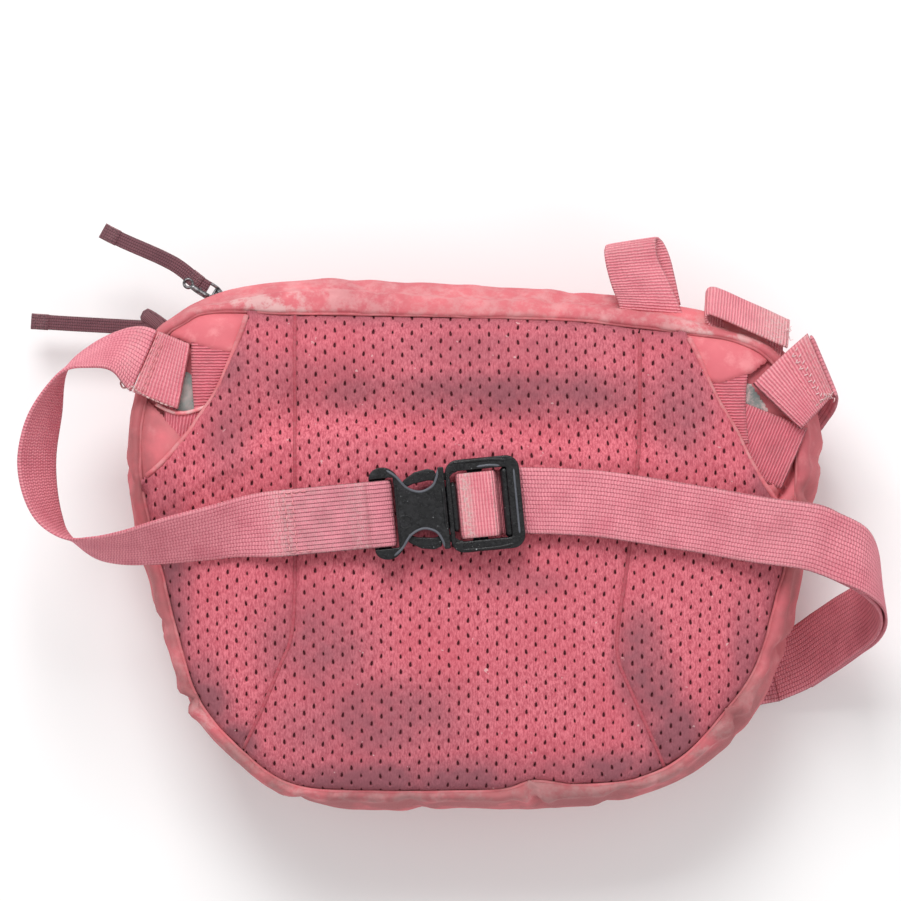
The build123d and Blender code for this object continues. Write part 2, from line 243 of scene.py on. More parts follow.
# ------------------------------------------------------------------ materials
class Surface:
    """A principled material whose maps are built from texture nodes."""

    def __init__(self, name, roughness=0.85, **sockets):
        self.material = bpy.data.materials.new(name)
        self.material.use_nodes = True
        self.tree = self.material.node_tree
        self.shader = self.tree.nodes["Principled BSDF"]
        self.shader.inputs["Roughness"].default_value = roughness
        for key, value in sockets.items():
            self.shader.inputs[key.replace("_", " ")].default_value = value

    def node(self, kind, **inputs):
        made = self.tree.nodes.new(kind)
        for key, value in inputs.items():
            socket = made.inputs[int(key[1:])] if key[0] == "i" and key[1:].isdigit() else made.inputs[key]
            if isinstance(value, bpy.types.NodeSocket):
                self.tree.links.new(value, socket)
            else:
                socket.default_value = value
        return made

    def math(self, operation, a, b=0.0, c=0.0):
        made = self.node("ShaderNodeMath", i0=a, i1=b, i2=c)
        made.operation = operation
        return made.outputs[0]

    def mul(self, a, b):
        return self.math("MULTIPLY", a, b)

    def add(self, a, b):
        return self.math("ADD", a, b)

    def ramp(self, value, low, high, to_low=0.0, to_high=1.0):
        made = self.node("ShaderNodeMapRange", i0=value, i1=low, i2=high, i3=to_low, i4=to_high)
        made.interpolation_type = "SMOOTHSTEP"
        return made.outputs[0]

    def mix(self, factor, a, b):
        made = self.tree.nodes.new("ShaderNodeMix")
        made.data_type = "RGBA"
        for socket, value in ((made.inputs[0], factor), (made.inputs[6], a), (made.inputs[7], b)):
            if isinstance(value, bpy.types.NodeSocket):
                self.tree.links.new(value, socket)
            else:
                socket.default_value = value
        return made.outputs[2]

    def coat(self, shade, amount, most, colour):
        """A colour laid over a shade by an amount that is held to `most`."""
        return self.mix(self.math("MINIMUM", amount, most), shade, colour)

    def place(self, scale=(1, 1, 1), offset=(0, 0, 0), uv=False):
        """Object or map coordinates, scaled and shifted."""
        source = self.tree.nodes.new("ShaderNodeUVMap" if uv else "ShaderNodeTexCoord")
        made = self.tree.nodes.new("ShaderNodeMapping")
        self.tree.links.new(source.outputs[0 if uv else "Object"], made.inputs[0])
        made.inputs["Scale"].default_value = scale
        made.inputs["Location"].default_value = offset
        return made.outputs[0]

    def noise(self, size, detail=3.0, rough=0.55, stretch=(1, 1, 1), uv=False, offset=(0, 0, 0)):
        """Noise with one feature every `size` mm."""
        scale = tuple(1000.0 / size / s for s in stretch)
        made = self.node("ShaderNodeTexNoise", Vector=self.place(scale, offset, uv), Scale=1.0,
                         Detail=detail, Roughness=rough)
        return made.outputs[0]

    def split(self, vector):
        return self.node("ShaderNodeSeparateXYZ", i0=vector).outputs

    def value(self, name):
        """One of the piece's own named values, such as worn or dirt."""
        made = self.tree.nodes.new("ShaderNodeAttribute")
        made.attribute_name = name
        return made.outputs["Fac"]

    def spot(self, centre, radius, soft=0.35):
        """1 inside a plan ellipse in mm, falling to 0 at its rim."""
        scale = (1000 / radius[0], 1000 / radius[1], 0)
        offset = (-centre[0] / radius[0], -centre[1] / radius[1], 0)
        made = self.node("ShaderNodeVectorMath", i0=self.place(scale, offset))
        made.operation = "LENGTH"
        return self.ramp(made.outputs["Value"], soft, 1.0, 1.0, 0.0)

    def finish(self, colour=None, height=None, distance=0.2, strength=1.0, roughness=None):
        """Connects the maps; `distance` is the height map's depth in mm."""
        if colour is not None:
            self.tree.links.new(colour, self.shader.inputs["Base Color"])
        if roughness is not None:
            self.tree.links.new(roughness, self.shader.inputs["Roughness"])
        if height is not None:
            made = self.node("ShaderNodeBump", Height=height, Strength=strength, Distance=distance * MM)
            self.tree.links.new(made.outputs[0], self.shader.inputs["Normal"])
        return self.material


def srgb(red, green, blue):
    def linear(v):
        v /= 255
        return v / 12.92 if v <= 0.04045 else ((v + 0.055) / 1.055) ** 2.4
    return (linear(red), linear(green), linear(blue), 1.0)


DIRT = srgb(118, 88, 86)
WORN = srgb(226, 190, 188)


def plain_fabric(name, colour, pale, dark, weave=0.55):
    """Plain woven shell fabric, faded in soft patches, grubby low down and worn on its folds."""
    s = Surface(name, 0.88, Sheen_Weight=0.22, Sheen_Roughness=0.5, Sheen_Tint=pale)
    broad = s.noise(42, 4)
    fine = s.noise(6, 4, 0.6)
    shade = s.mix(s.ramp(broad, 0.36, 0.66), dark, colour)
    shade = s.mix(s.mul(s.ramp(fine, 0.5, 0.78), 0.45), shade, pale)
    worn = s.mul(s.value("worn"), s.ramp(s.noise(7, 5, 0.7), 0.4, 0.62))
    shade = s.coat(shade, worn, 0.8, WORN)
    grime = s.mul(s.value("dirt"), s.ramp(s.noise(19, 4, 0.55), 0.22, 0.74))
    shade = s.coat(shade, grime, 0.6, DIRT)
    at = s.split(s.place((1000 / weave,) * 3))
    warp = s.math("SINE", s.mul(at[0], 2 * math.pi))
    weft = s.math("SINE", s.mul(s.add(at[1], at[2]), 2 * math.pi))
    cloth = s.mul(warp, weft)
    shade = s.mix(s.mul(s.ramp(cloth, -1, 1), 0.16), shade, dark)
    height = s.add(s.mul(cloth, 0.5), s.mul(s.noise(2.2, 3), 1.6))
    return s.finish(shade, height, 0.16, 0.55)


# patches of the back panel laid grey: (middle, radii in mm, strength); partly real grime, partly painted shade,
# chiefly in the band above the pressed-in valley and low down where the padding bends away
GRIME_AND_SHADE_PATCHES = [
    ((-92, 66), (26, 24), 0.6), ((-60, 62), (56, 20), 0.35), ((-115, -18), (15, 60), 0.85),
    ((-102, -60), (18, 26), 0.95), ((-90, -76), (16, 14), 1.0), ((-58, -38), (34, 34), 0.6),
    ((-20, -93), (96, 20), 1.0), ((-36, -66), (60, 26), 0.65), ((64, -44), (15, 30), 0.85),
    ((78, -72), (17, 22), 1.0), ((70, -58), (16, 26), 0.8), ((113, 10), (13, 36), 0.7),
    ((80, 54), (20, 30), 0.6), ((20, 58), (92, 15), 0.7), ((-44, 58), (30, 12), 0.5),
    ((-92, 50), (16, 36), 0.5), ((58, -86), (50, 12), 0.9), ((20, -14), (26, 9), 0.4),
    ((105, -40), (12, 36), 0.5), ((10, 74), (80, 14), 0.4),
]


def mesh_fabric(name):
    """Knitted spacer mesh: vertical knit streaks, grey patches of grime and painted shade, holes dark with painted
    shade.
    """
    s = Surface(name, 0.92, Sheen_Weight=0.15, Sheen_Roughness=0.5, Sheen_Tint=srgb(240, 150, 158))
    base, light, deep = srgb(212, 102, 116), srgb(234, 134, 146), srgb(160, 58, 76)
    grime_and_shade_grey = srgb(128, 78, 88)
    knit = s.noise(1.0, 4, 0.7, stretch=(0.62, 1.9, 1))
    shade = s.mix(s.ramp(knit, 0.36, 0.64), deep, light)
    shade = s.mix(0.4, shade, base)
    shade = s.mix(s.mul(s.ramp(s.noise(34, 4), 0.4, 0.7), 0.4), shade, srgb(196, 84, 98))
    patches = s.ramp(s.noise(16, 5, 0.62), 0.30, 0.62)
    dirt = s.value("dirt")
    # the patches add painted shade as well as grime: above the valley and at the bottom the grey stands in for shade
    for centre, radius, amount in GRIME_AND_SHADE_PATCHES:
        dirt = s.math("MAXIMUM", dirt, s.mul(s.spot(centre, radius, 0.15), amount))
    dirt = s.mul(dirt, s.add(s.mul(patches, 0.45), 0.62))
    shade = s.coat(shade, dirt, 0.8, grime_and_shade_grey)
    flecks = s.ramp(s.noise(2.6, 2, 0.5, offset=(31, 7, 2)), 0.735, 0.77)
    shade = s.mix(s.mul(flecks, 0.6), shade, WORN)
    # the holes turn dark red by their named value: painted shade of their depth
    hole = s.value("hole")
    shade = s.mix(s.ramp(hole, 0.3, 0.9), shade, srgb(104, 22, 38))
    height = s.add(knit, s.mul(s.noise(3.4, 2), 0.6))
    return s.finish(shade, height, 0.5, 0.8)


def webbing_fabric(name, colour, light, dark, cross=1.15, long=3.12, cross_share=0.55, shift=0.12, contrast=0.75):
    """Ribbed webbing; its map runs along the strap in u and across it in v."""
    s = Surface(name, 0.8, Sheen_Weight=0.12, Sheen_Roughness=0.45, Sheen_Tint=light)
    at = s.split(s.place((1000, 1000, 1000), uv=True))
    turn = 2 * math.pi
    rib = s.math("SINE", s.mul(at[1], turn / long))
    beat = s.mul(s.math("SIGN", rib), shift)
    jitter = s.mul(s.noise(2.4, 3, 0.6, uv=True), 0.5)
    picks = s.add(s.add(s.math("DIVIDE", at[0], cross), beat), jitter)
    pick = s.math("SINE", s.mul(picks, turn))
    cord = s.ramp(s.math("ABSOLUTE", rib), 0.0, 0.55, -1.0, 1.0)
    weave = s.add(s.mul(pick, cross_share), s.mul(cord, 1 - cross_share))
    shade = s.mix(s.ramp(weave, -0.9, 0.8), dark, light)
    shade = s.mix(1 - contrast, shade, colour)
    shade = s.mix(s.mul(s.ramp(s.noise(14, 4, uv=True), 0.42, 0.68), 0.3), shade, dark)
    fuzz = s.ramp(s.noise(1.3, 5, 0.75, uv=True), 0.42, 0.66)
    worn = s.mul(s.value("worn"), s.add(s.mul(fuzz, 0.8), 0.15))
    shade = s.coat(shade, worn, 0.9, WORN)
    grime = s.mul(s.value("dirt"), s.ramp(s.noise(8, 4, 0.65, uv=True), 0.34, 0.66))
    shade = s.coat(shade, grime, 0.7, DIRT)
    height = s.add(weave, s.mul(fuzz, 0.4))
    return s.finish(shade, height, 0.4, 0.8)


def moulded_plastic(name, colour):
    """Black acetal with dusty scuffs."""
    s = Surface(name, 0.42, Specular_IOR_Level=0.38)
    scuff = s.ramp(s.noise(1.3, 6, 0.75), 0.52, 0.74)
    dust = s.ramp(s.noise(5, 5, 0.6, offset=(3, 1, 7)), 0.46, 0.72)
    shade = s.mix(s.mul(dust, 0.28), colour, srgb(50, 48, 52))
    shade = s.mix(s.mul(scuff, 0.2), shade, srgb(104, 106, 112))
    speck = s.ramp(s.noise(0.9, 2, 0.5, offset=(9, 4, 1)), 0.73, 0.76)
    shade = s.mix(s.mul(speck, 0.6), shade, srgb(200, 205, 205))
    rough = s.ramp(s.noise(1.6, 5, 0.7), 0.3, 0.7, 0.18, 0.5)
    return s.finish(shade, s.noise(1.1, 5, 0.7), 0.3, 0.7, rough)


def worn_metal(name):
    """Dull zinc, rubbed bright in places."""
    s = Surface(name, 0.38, Metallic=1.0)
    shade = s.mix(s.ramp(s.noise(1.4, 5, 0.7), 0.38, 0.66), srgb(84, 82, 84), srgb(158, 156, 158))
    rough = s.ramp(s.noise(0.9, 4, 0.7), 0.3, 0.7, 0.28, 0.55)
    return s.finish(shade, s.noise(0.6, 4, 0.7), 0.05, 0.5, rough)


def thread(name, colour, fray=1.0):
    """Sewing thread or nylon; `fray` is how much of it has gone pale."""
    s = Surface(name, 0.8, Sheen_Weight=0.2)
    shade = s.mix(s.mul(s.ramp(s.noise(1.2, 4, 0.7), 0.35, 0.65), fray), colour, WORN)
    return s.finish(shade, s.noise(0.35, 3, 0.7), 0.08, 0.8)


shell_mat = plain_fabric("shell_fabric_woven", srgb(229, 118, 126), srgb(243, 160, 164), srgb(203, 98, 108))
wing_mat = plain_fabric("wing_fabric_woven", srgb(238, 132, 139), srgb(246, 168, 170), srgb(216, 108, 118))
mesh_mat = mesh_fabric("spacer_mesh_knit")
webbing_mat = webbing_fabric("belt_webbing_ribbed", srgb(234, 124, 140), srgb(250, 162, 174), srgb(192, 78, 100))
fold_mat = webbing_fabric("buckle_fold_webbing", srgb(218, 112, 130), srgb(238, 148, 162), srgb(160, 60, 84),
                          cross=0.85, cross_share=0.3, contrast=0.85)
block_mat = webbing_fabric("belt_end_webbing", srgb(246, 136, 150), srgb(253, 172, 180), srgb(214, 92, 112),
                           cross_share=0.8, shift=0.0, contrast=0.65)
yoke_mat = webbing_fabric("yoke_webbing_ribbed", srgb(232, 112, 128), srgb(244, 144, 156), srgb(196, 76, 94),
                          cross=1.12, long=90.0, cross_share=0.95, shift=0.0, contrast=0.7)
plastic_mat = moulded_plastic("buckle_acetal", srgb(8, 8, 11))
# lighter grey plastic for the buckle's rims and edges: a painted highlight of their glint
rim_highlight_mat = moulded_plastic("buckle_rim_painted_highlight", srgb(88, 90, 98))
metal_mat = worn_metal("zip_zinc")
thread_mat = thread("faded_thread", srgb(228, 132, 142), 0.45)
pale_thread_mat = thread("pale_thread", srgb(240, 196, 200), 0.8)
frayed_mat = thread("frayed_thread", srgb(150, 78, 80))
pull_mat = webbing_fabric("pull_tape_twill", srgb(112, 68, 78), srgb(134, 88, 96), srgb(72, 40, 50),
                          cross=0.9, long=2.2, cross_share=0.5)
tape_mat = webbing_fabric("zip_tape_woven", srgb(190, 96, 106), srgb(206, 116, 124), srgb(150, 70, 82),
                          cross=0.7, long=1.8, cross_share=0.5)
dark_thread_mat = thread("maroon_thread", srgb(86, 48, 58), 0.15)
coil_mat = thread("zip_nylon_coil", srgb(120, 60, 70), 0.2)
seam_mat = thread("panel_seam_thread", srgb(168, 62, 78), 0.1)
lining_mat = plain_fabric("lining_coated", srgb(148, 156, 152), srgb(176, 182, 178), srgb(112, 120, 118))

# ------------------------------------------------------------------ back panel outline and seams
BACK_OUTLINE = [
    (-117.5, 77), (-108.5, 84.6), (-98, 88.6), (-67, 88.2), (-16, 87.4), (34, 86), (64, 83.2), (84, 80.4),
    (101, 77.6), (115, 69.5), (123.5, 52), (124.5, 30), (122.5, 2), (116.5, -22), (109.5, -46), (97, -64.5),
    (80, -82), (62, -90), (40, -91.8), (24, -90.4), (8, -94), (-44, -94.2), (-69, -91.4), (-87, -79),
    (-103.5, -59.5), (-112, -33), (-117.5, -11), (-123, 11), (-125.8, 36), (-123.4, 56),
]
back_line = curve_through(BACK_OUTLINE, 2.0, closed=True)
# where the side panels stop at the corner pockets, and the seams between the panels
LEFT_EDGE = [(-160, 6), (-125.5, 24), (-109, 39.6), (-102, 49.2), (-95.8, 58.5), (-89.6, 73), (-84.6, 87),
             (-80, 104)]
RIGHT_EDGE = [(160, -14), (124, 9), (112.5, 21.5), (104.5, 35), (101, 42.6), (92.8, 56.6), (86.6, 70.8),
              (81.6, 82), (76, 104)]
LEFT_SEAM = [(-66.4, 120), (-66.4, 60), (-66.2, -6), (-67.4, -33), (-72.2, -46.5), (-80, -65), (-90, -86),
             (-104, -118)]
RIGHT_SEAM = [(64.6, 120), (64.2, 44), (63, 28), (59.6, -6), (56.2, -30), (56, -43), (61.6, -57), (74, -85),
              (86, -116)]
# where the padding is pressed in above the belt
VALLEY = [(-120, 30), (-85, 41), (-63.6, 49), (-39.4, 48.1), (-15.3, 45.6), (20.8, 42.3), (57.2, 40.4), (81.2, 37.1),
          (93.1, 34.8), (112, 29)]
left_seam = curve_through(LEFT_SEAM, 3.0)
right_seam = curve_through(RIGHT_SEAM, 3.0)
left_edge = curve_through(LEFT_EDGE, 3.0)
right_edge = curve_through(RIGHT_EDGE, 3.0)


DECK_RIM = 67.4       # height of the padding at the back seam, in mm
DECK_CROWN = 6.2      # how far it stands above the rim 10 mm further in
DECK_MIDDLE = 1.2     # and how much more towards the middle
DECK_TOP = 75.2       # no padding is higher
VALLEY_DEPTH = 4.4
SEAM_DEPTH = 1.0
# soft folds of the padding: (middle, half length and width in mm, turn in degrees, height in mm)
DECK_FOLDS = [
    ((-96, 27), (26, 3.2), 28, 0.9), ((-84, 33), (22, 2.8), 20, 0.7), ((-92, 15), (18, 3), 12, -0.6),
    ((96, 30), (18, 3.4), -38, 0.8), ((92, 12), (22, 4), -14, -0.6), ((14, -62), (60, 12), 4, -1.0),
    ((-40, -50), (46, 9), -12, -0.8), ((84, -38), (24, 7), 38, -0.7), ((-100, -44), (26, 6), 62, -0.8),
    ((40, 20), (50, 8), -4, 0.5), ((-14, 66), (52, 7), 2, 0.7), ((26, -80), (40, 6), 3, -0.7),
]


def deck(plan):
    """Height in mm of the padded back panel's crown at plan points."""
    x, y = plan[:, 0], plan[:, 1]
    d, _ = nearest(plan, back_line)
    d = np.where(inside(plan, back_line), d, 0.0)
    z = DECK_RIM + DECK_CROWN * (1 - np.exp(-d / 10)) + DECK_MIDDLE * (1 - np.exp(-d / 45))
    valley = np.interp(x, *np.array(VALLEY).T) + 0.8 * np.sin(x / 9)
    depth = VALLEY_DEPTH * smoothstep(-100, -72, x) * (1 - smoothstep(66, 92, x))
    z -= depth * bump(y, valley, np.where(y > valley, 14, 5.2))
    for seam in (left_seam, right_seam):
        z -= SEAM_DEPTH * bump(nearest(plan, seam, closed=False)[0], 0, 7)
    for (cx, cy), (along, across), turn, height in DECK_FOLDS:
        c, k = math.cos(math.radians(turn)), math.sin(math.radians(turn))
        u, v = (x - cx) * c + (y - cy) * k, -(x - cx) * k + (y - cy) * c
        z += height * np.exp(-((u / along) ** 2) - ((v / across) ** 2))
    flat = np.column_stack([plan, np.zeros(len(plan))])
    z += 0.75 * rough(flat, 34, 3, 2) + 0.28 * rough(flat, 11, 4, 2)
    z += 0.7 * rough(flat, 7, 8, 1) * np.exp(-d / 6)
    return np.minimum(z, DECK_TOP)


def panel_edge(plan, guide):
    """(inside both the outline and the guide, distance to the nearer edge, nearest edge point)."""
    in_outline, in_guide = inside(plan, back_line), inside(plan, guide)
    d_outline, q_outline = nearest(plan, back_line)
    d_guide, q_guide = nearest(plan, guide)
    use_outline = np.where(in_outline & in_guide, d_outline < d_guide, ~in_outline)
    return (in_outline & in_guide, np.where(use_outline, d_outline, d_guide),
            np.where(use_outline[:, None], q_outline, q_guide))


def clipped(points, faces, guide, extra):
    """Keeps faces whose middle is in a panel and pulls their outer points onto its edge."""
    middles = np.array([points[list(f), :2].mean(0) for f in faces])
    good = inside(middles, back_line) & inside(middles, guide)
    kept = [f for f, ok in zip(faces, good) if ok]
    used = np.array(sorted({i for f in kept for i in f}))
    index = np.zeros(len(points), int)
    index[used] = np.arange(len(used))
    points = points[used].copy()
    extra = {key: v[used] for key, v in extra.items()}
    within, _, q = panel_edge(points[:, :2], guide)
    points[~within, :2] = q[~within]
    return points, [tuple(index[list(f)]) for f in kept], extra


def merged(points, faces, *others):
    """Points that lie together become one."""
    keys = np.round(points * 200).astype(int)
    _, first, back = np.unique(keys, axis=0, return_index=True, return_inverse=True)
    back = back.ravel()
    faces = [tuple(back[list(f)]) for f in faces]
    return (points[first], faces, *[v[first] for v in others])


def hole_cell(column_pitch, row_pitch):
    """Outline of one knit cell and of its teardrop hole, point for point."""
    side, end = 6, 3
    edge = [(-0.5, -0.5 + i / side) for i in range(side)]
    edge += [(-0.5 + i / end, 0.5) for i in range(end)]
    edge += [(0.5, 0.5 - i / side) for i in range(side)]
    edge += [(0.5 - i / end, -0.5) for i in range(end)]
    edge = np.array(edge) * (column_pitch, row_pitch)
    angle = np.arctan2(edge[:, 1] / row_pitch, edge[:, 0] / column_pitch)
    taper = 1 - 0.28 * np.sin(angle)
    return edge, np.stack([0.42 * np.cos(angle) * taper, 0.88 * np.sin(angle)], 1)


KNIT_PITCH = (3.65, 5.7)      # between the mesh's columns and rows of holes, in mm
# each hole's rings: (share of the way from its rim to the cell's edge, drop in mm, painted shade of the hole's depth)
HOLE_RINGS = [(1.0, 0.0, 0.0), (0.38, 0.05, 0.0), (0.10, 0.20, 0.1), (0.0, 0.45, 0.65), (-0.16, 1.1, 1.0)]


def mesh_panel(name, guide, free_edges, replaced):
    """Perforated knit inside a guide: rounded cells with a teardrop hole, dipping at the seams; each hole's walls and
    closed floor are darkened with painted shade.
    """
    column_pitch, row_pitch = KNIT_PITCH
    edge, oval = hole_cell(column_pitch, row_pitch)
    low = np.maximum(guide.min(0), back_line.min(0)) - 10
    high = np.minimum(guide.max(0), back_line.max(0)) + 10
    count = len(edge)
    points, faces, dark = [], [], []
    for column in range(int(low[0] / column_pitch) - 1, int(high[0] / column_pitch) + 2):
        for row in range(int(low[1] / row_pitch) - 2, int(high[1] / row_pitch) + 3):
            middle = np.array((column, row + 0.5 * (column % 2))) * (column_pitch, row_pitch)
            tilt = 0.16 * math.sin(column * 12.9898 + row * 78.233)
            size = 1 + 0.16 * math.sin(column * 39.35 + row * 11.13)
            c, k = math.cos(tilt), math.sin(tilt)
            hole = size * np.stack([oval[:, 0] * c - oval[:, 1] * k, oval[:, 0] * k + oval[:, 1] * c], 1)
            base = len(points) * count
            for share, drop, shade in HOLE_RINGS:
                ring = hole + (edge - hole) * share
                points.append(np.column_stack([ring + middle, np.full(count, -drop)]))
                dark.append(np.full(count, shade))
            for r in range(len(HOLE_RINGS) - 1):
                for i in range(count):
                    j = (i + 1) % count
                    a = base + r * count
                    faces.append((a + j, a + count + j, a + count + i, a + i))
            last = base + (len(HOLE_RINGS) - 1) * count
            # the hole's floor, a closed sheet that the painted shade makes dark
            faces.append(tuple(last + i for i in range(count))[::-1])
    points, faces, dark = merged(np.vstack(points), faces, np.concatenate(dark))
    # the knit is stretched a little out of true
    x, y = points[:, 0].copy(), points[:, 1].copy()
    points[:, 0] = x + 1.1 * np.sin(y / 31 + 0.6) + 0.5 * np.sin(y / 13)
    points[:, 1] = y - 0.055 * x + 1.4 * np.sin(x / 38)
    points, faces, extra = clipped(points, faces, guide, {"hole": dark})
    plan = points[:, :2]
    _, d, _ = panel_edge(plan, guide)
    base = deck(plan)
    outer = nearest(plan, back_line)[0]
    groove = np.where(outer < d + 0.05, 2.8, 1.0) * bump(d, 0, 1.4) + 0.7 * np.exp(-d / 4)
    for line in free_edges:
        near, _ = nearest(plan, line, closed=False)
        lip = bump(near, 0, 4)
        groove = groove * (1 - lip) + lip * 1.5 * bump(near, 0, 0.7)
        base = base * (1 - 0.85 * lip) + 0.85 * lip * np.clip(base, 71.6, 73.2)
    points[:, 2] += base - groove
    extra["dirt"] = 0.75 * np.exp(-outer / 5.0)
    piece = make_piece(name, points, faces, mesh_mat, values=extra)
    place(piece, "pack", replaced)


guides = {
    "center": np.vstack([left_seam, right_seam[::-1]]),
    "left": np.vstack([left_edge, left_seam, [(-160, -130)]]),
    "right": np.vstack([right_edge, right_seam, [(160, -130)]]),
}
mesh_panel("mesh_panel_center", guides["center"], [], ["back_mesh_center", "back_foam_pad"])
mesh_panel("mesh_panel_left", guides["left"], [left_edge], ["back_mesh_left"])
mesh_panel("mesh_panel_right", guides["right"], [right_edge], ["back_mesh_right"])


# ------------------------------------------------------------------ webbing
WIDTH = 25.0
# the buckle's middle in plan, its turn and the height of its mid plane
BUCKLE_AT, BUCKLE_TILT, BUCKLE_HEIGHT = (-8.7, 14.3), math.radians(5.5), 82.5


def belt_point(along, across, height):
    """A point in mm given in the buckle's own directions, from its middle."""
    c, k = math.cos(BUCKLE_TILT), math.sin(BUCKLE_TILT)
    return (BUCKLE_AT[0] + along * c - across * k, BUCKLE_AT[1] + along * k + across * c, BUCKLE_HEIGHT + height)


def belt_station(along, height):
    """Both edges of the webbing at one place along the buckle."""
    return (belt_point(along, WIDTH / 2, height), belt_point(along, -WIDTH / 2, height))


def strap(name, stations, material, body, slot, replaced, thickness=1.4, lift=0.0, seed=1, wear=(), grime=0.0,
          step=1.3, across=22, wobble=0.35, width=WIDTH):
    """Webbing through pairs of edge points: rounded selvedges, a little waver, worn where `wear` says.

    `wear` holds (centre, half length, amount) along the strap, from 0 at its start to 1.
    Without a body the strap is left for the caller to place.
    """
    flat = np.array([np.concatenate([a, b]) for a, b in stations], float)
    line = curve_through(flat, step)
    edge_a, edge_b = line[:, :3], line[:, 3:]
    middle = (edge_a + edge_b) / 2
    run = np.concatenate(([0], np.cumsum(np.linalg.norm(np.diff(middle, axis=0), axis=1))))
    side = edge_b - edge_a
    side /= np.linalg.norm(side, axis=1)[:, None]
    ahead = np.gradient(middle, axis=0)
    ahead -= side * (ahead * side).sum(1)[:, None]
    ahead /= np.linalg.norm(ahead, axis=1)[:, None] + 1e-9
    up = np.cross(side, ahead)
    fade = smoothstep(0, 12, run) * smoothstep(0, 12, run[-1] - run)
    sway = rough(np.column_stack([run, 0 * run, 0 * run]), 28, seed, 2) * wobble * fade
    share = np.linspace(-1, 1, across)
    both = np.concatenate([share, share[::-1]])
    thick = thickness / 2 * (1 - 0.45 * np.abs(share) ** 10)
    ripple_height = 0.22 * wobble / 0.35
    rows, uv, worn = [], [], []
    for i in range(len(line)):
        around = np.column_stack([share * 12, np.full(across, run[i]), np.full(across, 9.0 * seed)])
        rise = lift + ripple_height * rough(around, 16, seed, 1) * fade[i]
        flat = middle[i] + side[i] * sway[i] + side[i] * (share * width / 2)[:, None]
        top, low = flat + up[i] * (rise + thick)[:, None], flat + up[i] * (rise - thick)[:, None]
        rows.append(np.vstack([top, low[::-1]]))
        uv.append(np.column_stack([np.full(2 * across, run[i]), both * width / 2 + width / 2]))
        here = sum(amount * math.exp(-((run[i] / run[-1] - at) / half) ** 2) for at, half, amount in wear)
        worn.append(here + 0.34 * np.abs(both) ** 14)
    loop = 2 * across
    points = np.vstack(rows)
    faces = grid_faces(len(line), loop, closed=True)
    for base, order in ((0, 1), ((len(line) - 1) * loop, -1)):
        for k in range(across - 1):
            quad = (base + k, base + k + 1, base + loop - 2 - k, base + loop - 1 - k)
            faces.append(quad[::order])
    piece = make_piece(name, points, faces, material, uv=np.vstack(uv),
                       values={"worn": np.concatenate(worn), "dirt": np.full(len(points), grime)})
    piece.data.validate()
    turn_outward(piece)
    return place(piece, body, replaced) if body else piece


def turn_outward(piece):
    """Faces of a closed mesh point outward."""
    made = bmesh.new()
    made.from_mesh(piece.data)
    bmesh.ops.recalc_face_normals(made, faces=made.faces)
    made.to_mesh(piece.data)
    made.free()


BELT_LEFT = [
    belt_station(-62, -2.6),
    ((-86.0, 18.1, 87.0), (-86.0, -4.2, 76.6)),
    ((-98.1, 14.7, 90.5), (-98.1, -5.3, 76.2)),
    ((-117.7, 9.1, 91.5), (-117.0, -6.8, 73.4)),
    ((-129.8, 5.7, 90.0), (-132.1, -7.2, 68.8)),
    ((-141.5, 3.2, 87.5), (-143.4, -4.5, 63.8)),
    ((-152.4, 3.0, 85.5), (-152.6, 3.4, 60.5)),
    ((-162.3, 9.4, 84.5), (-155.8, 11.3, 60.5)),
    ((-167.9, 20.8, 84.0), (-157.5, 22.0, 61.5)),
    ((-169.4, 34.3, 84.0), (-157.7, 34.3, 62.0)),
    ((-164.9, 50.2, 85.0), (-155.8, 49.0, 62.0)),
    ((-154.0, 64.5, 85.5), (-153.5, 66.5, 60.5)),
    ((-143.0, 67.0, 84.0), (-144.0, 76.0, 60.5)),
    ((-134.5, 65.5, 79.0), (-130.5, 82.3, 61.0)),
    ((-128.0, 58.4, 72.2), (-118.5, 80.7, 72.2)),
]
strap("left_belt", BELT_LEFT, webbing_mat, "pack", "webbing", ["belt_left"], seed=2,
      wear=((0.0, 0.03, 0.7), (0.97, 0.02, 0.35)), wobble=0.25)
strap("left_belt_fold", [
    belt_station(-62.6, -2.7), belt_station(-34, -0.6), belt_station(-28, 2.6), belt_station(-22.4, 2.9),
    belt_station(-20.7, 1.6), belt_station(-20.7, -1.6), belt_station(-22.4, -2.9), belt_station(-28, -2.6),
    belt_station(-34, -3.4), belt_station(-61.8, -4.6),
], fold_mat, "pack", "webbing", ["belt_left_buckle_fold"], thickness=1.2, seed=3,
    wear=((0.12, 0.16, 0.3), (0.34, 0.06, 0.5), (0.02, 0.03, 0.7)), grime=0.25, step=0.9, wobble=0.12)
strap("right_belt_loop", [
    belt_station(27.9, -4.1), belt_station(22.8, -4.3), belt_station(19.8, -3.2), belt_station(18.8, -0.6),
    belt_station(18.2, 1.8), belt_station(16.6, 3.0), belt_station(12, 3.1), belt_station(6.0, 2.9),
    belt_station(5.2, 2.0), belt_station(4.7, -0.4), belt_station(5.4, -2.8), belt_station(8.0, -4.9),
    belt_station(16, -6.0), belt_station(27.9, -6.1),
], block_mat, "buckle_male", "webbing", ["belt_right_loop"], thickness=1.2, seed=5, step=0.8, wobble=0.05,
    width=24.4, wear=((0.44, 0.035, 1.4), (0.26, 0.012, 0.6)), grime=0.05)

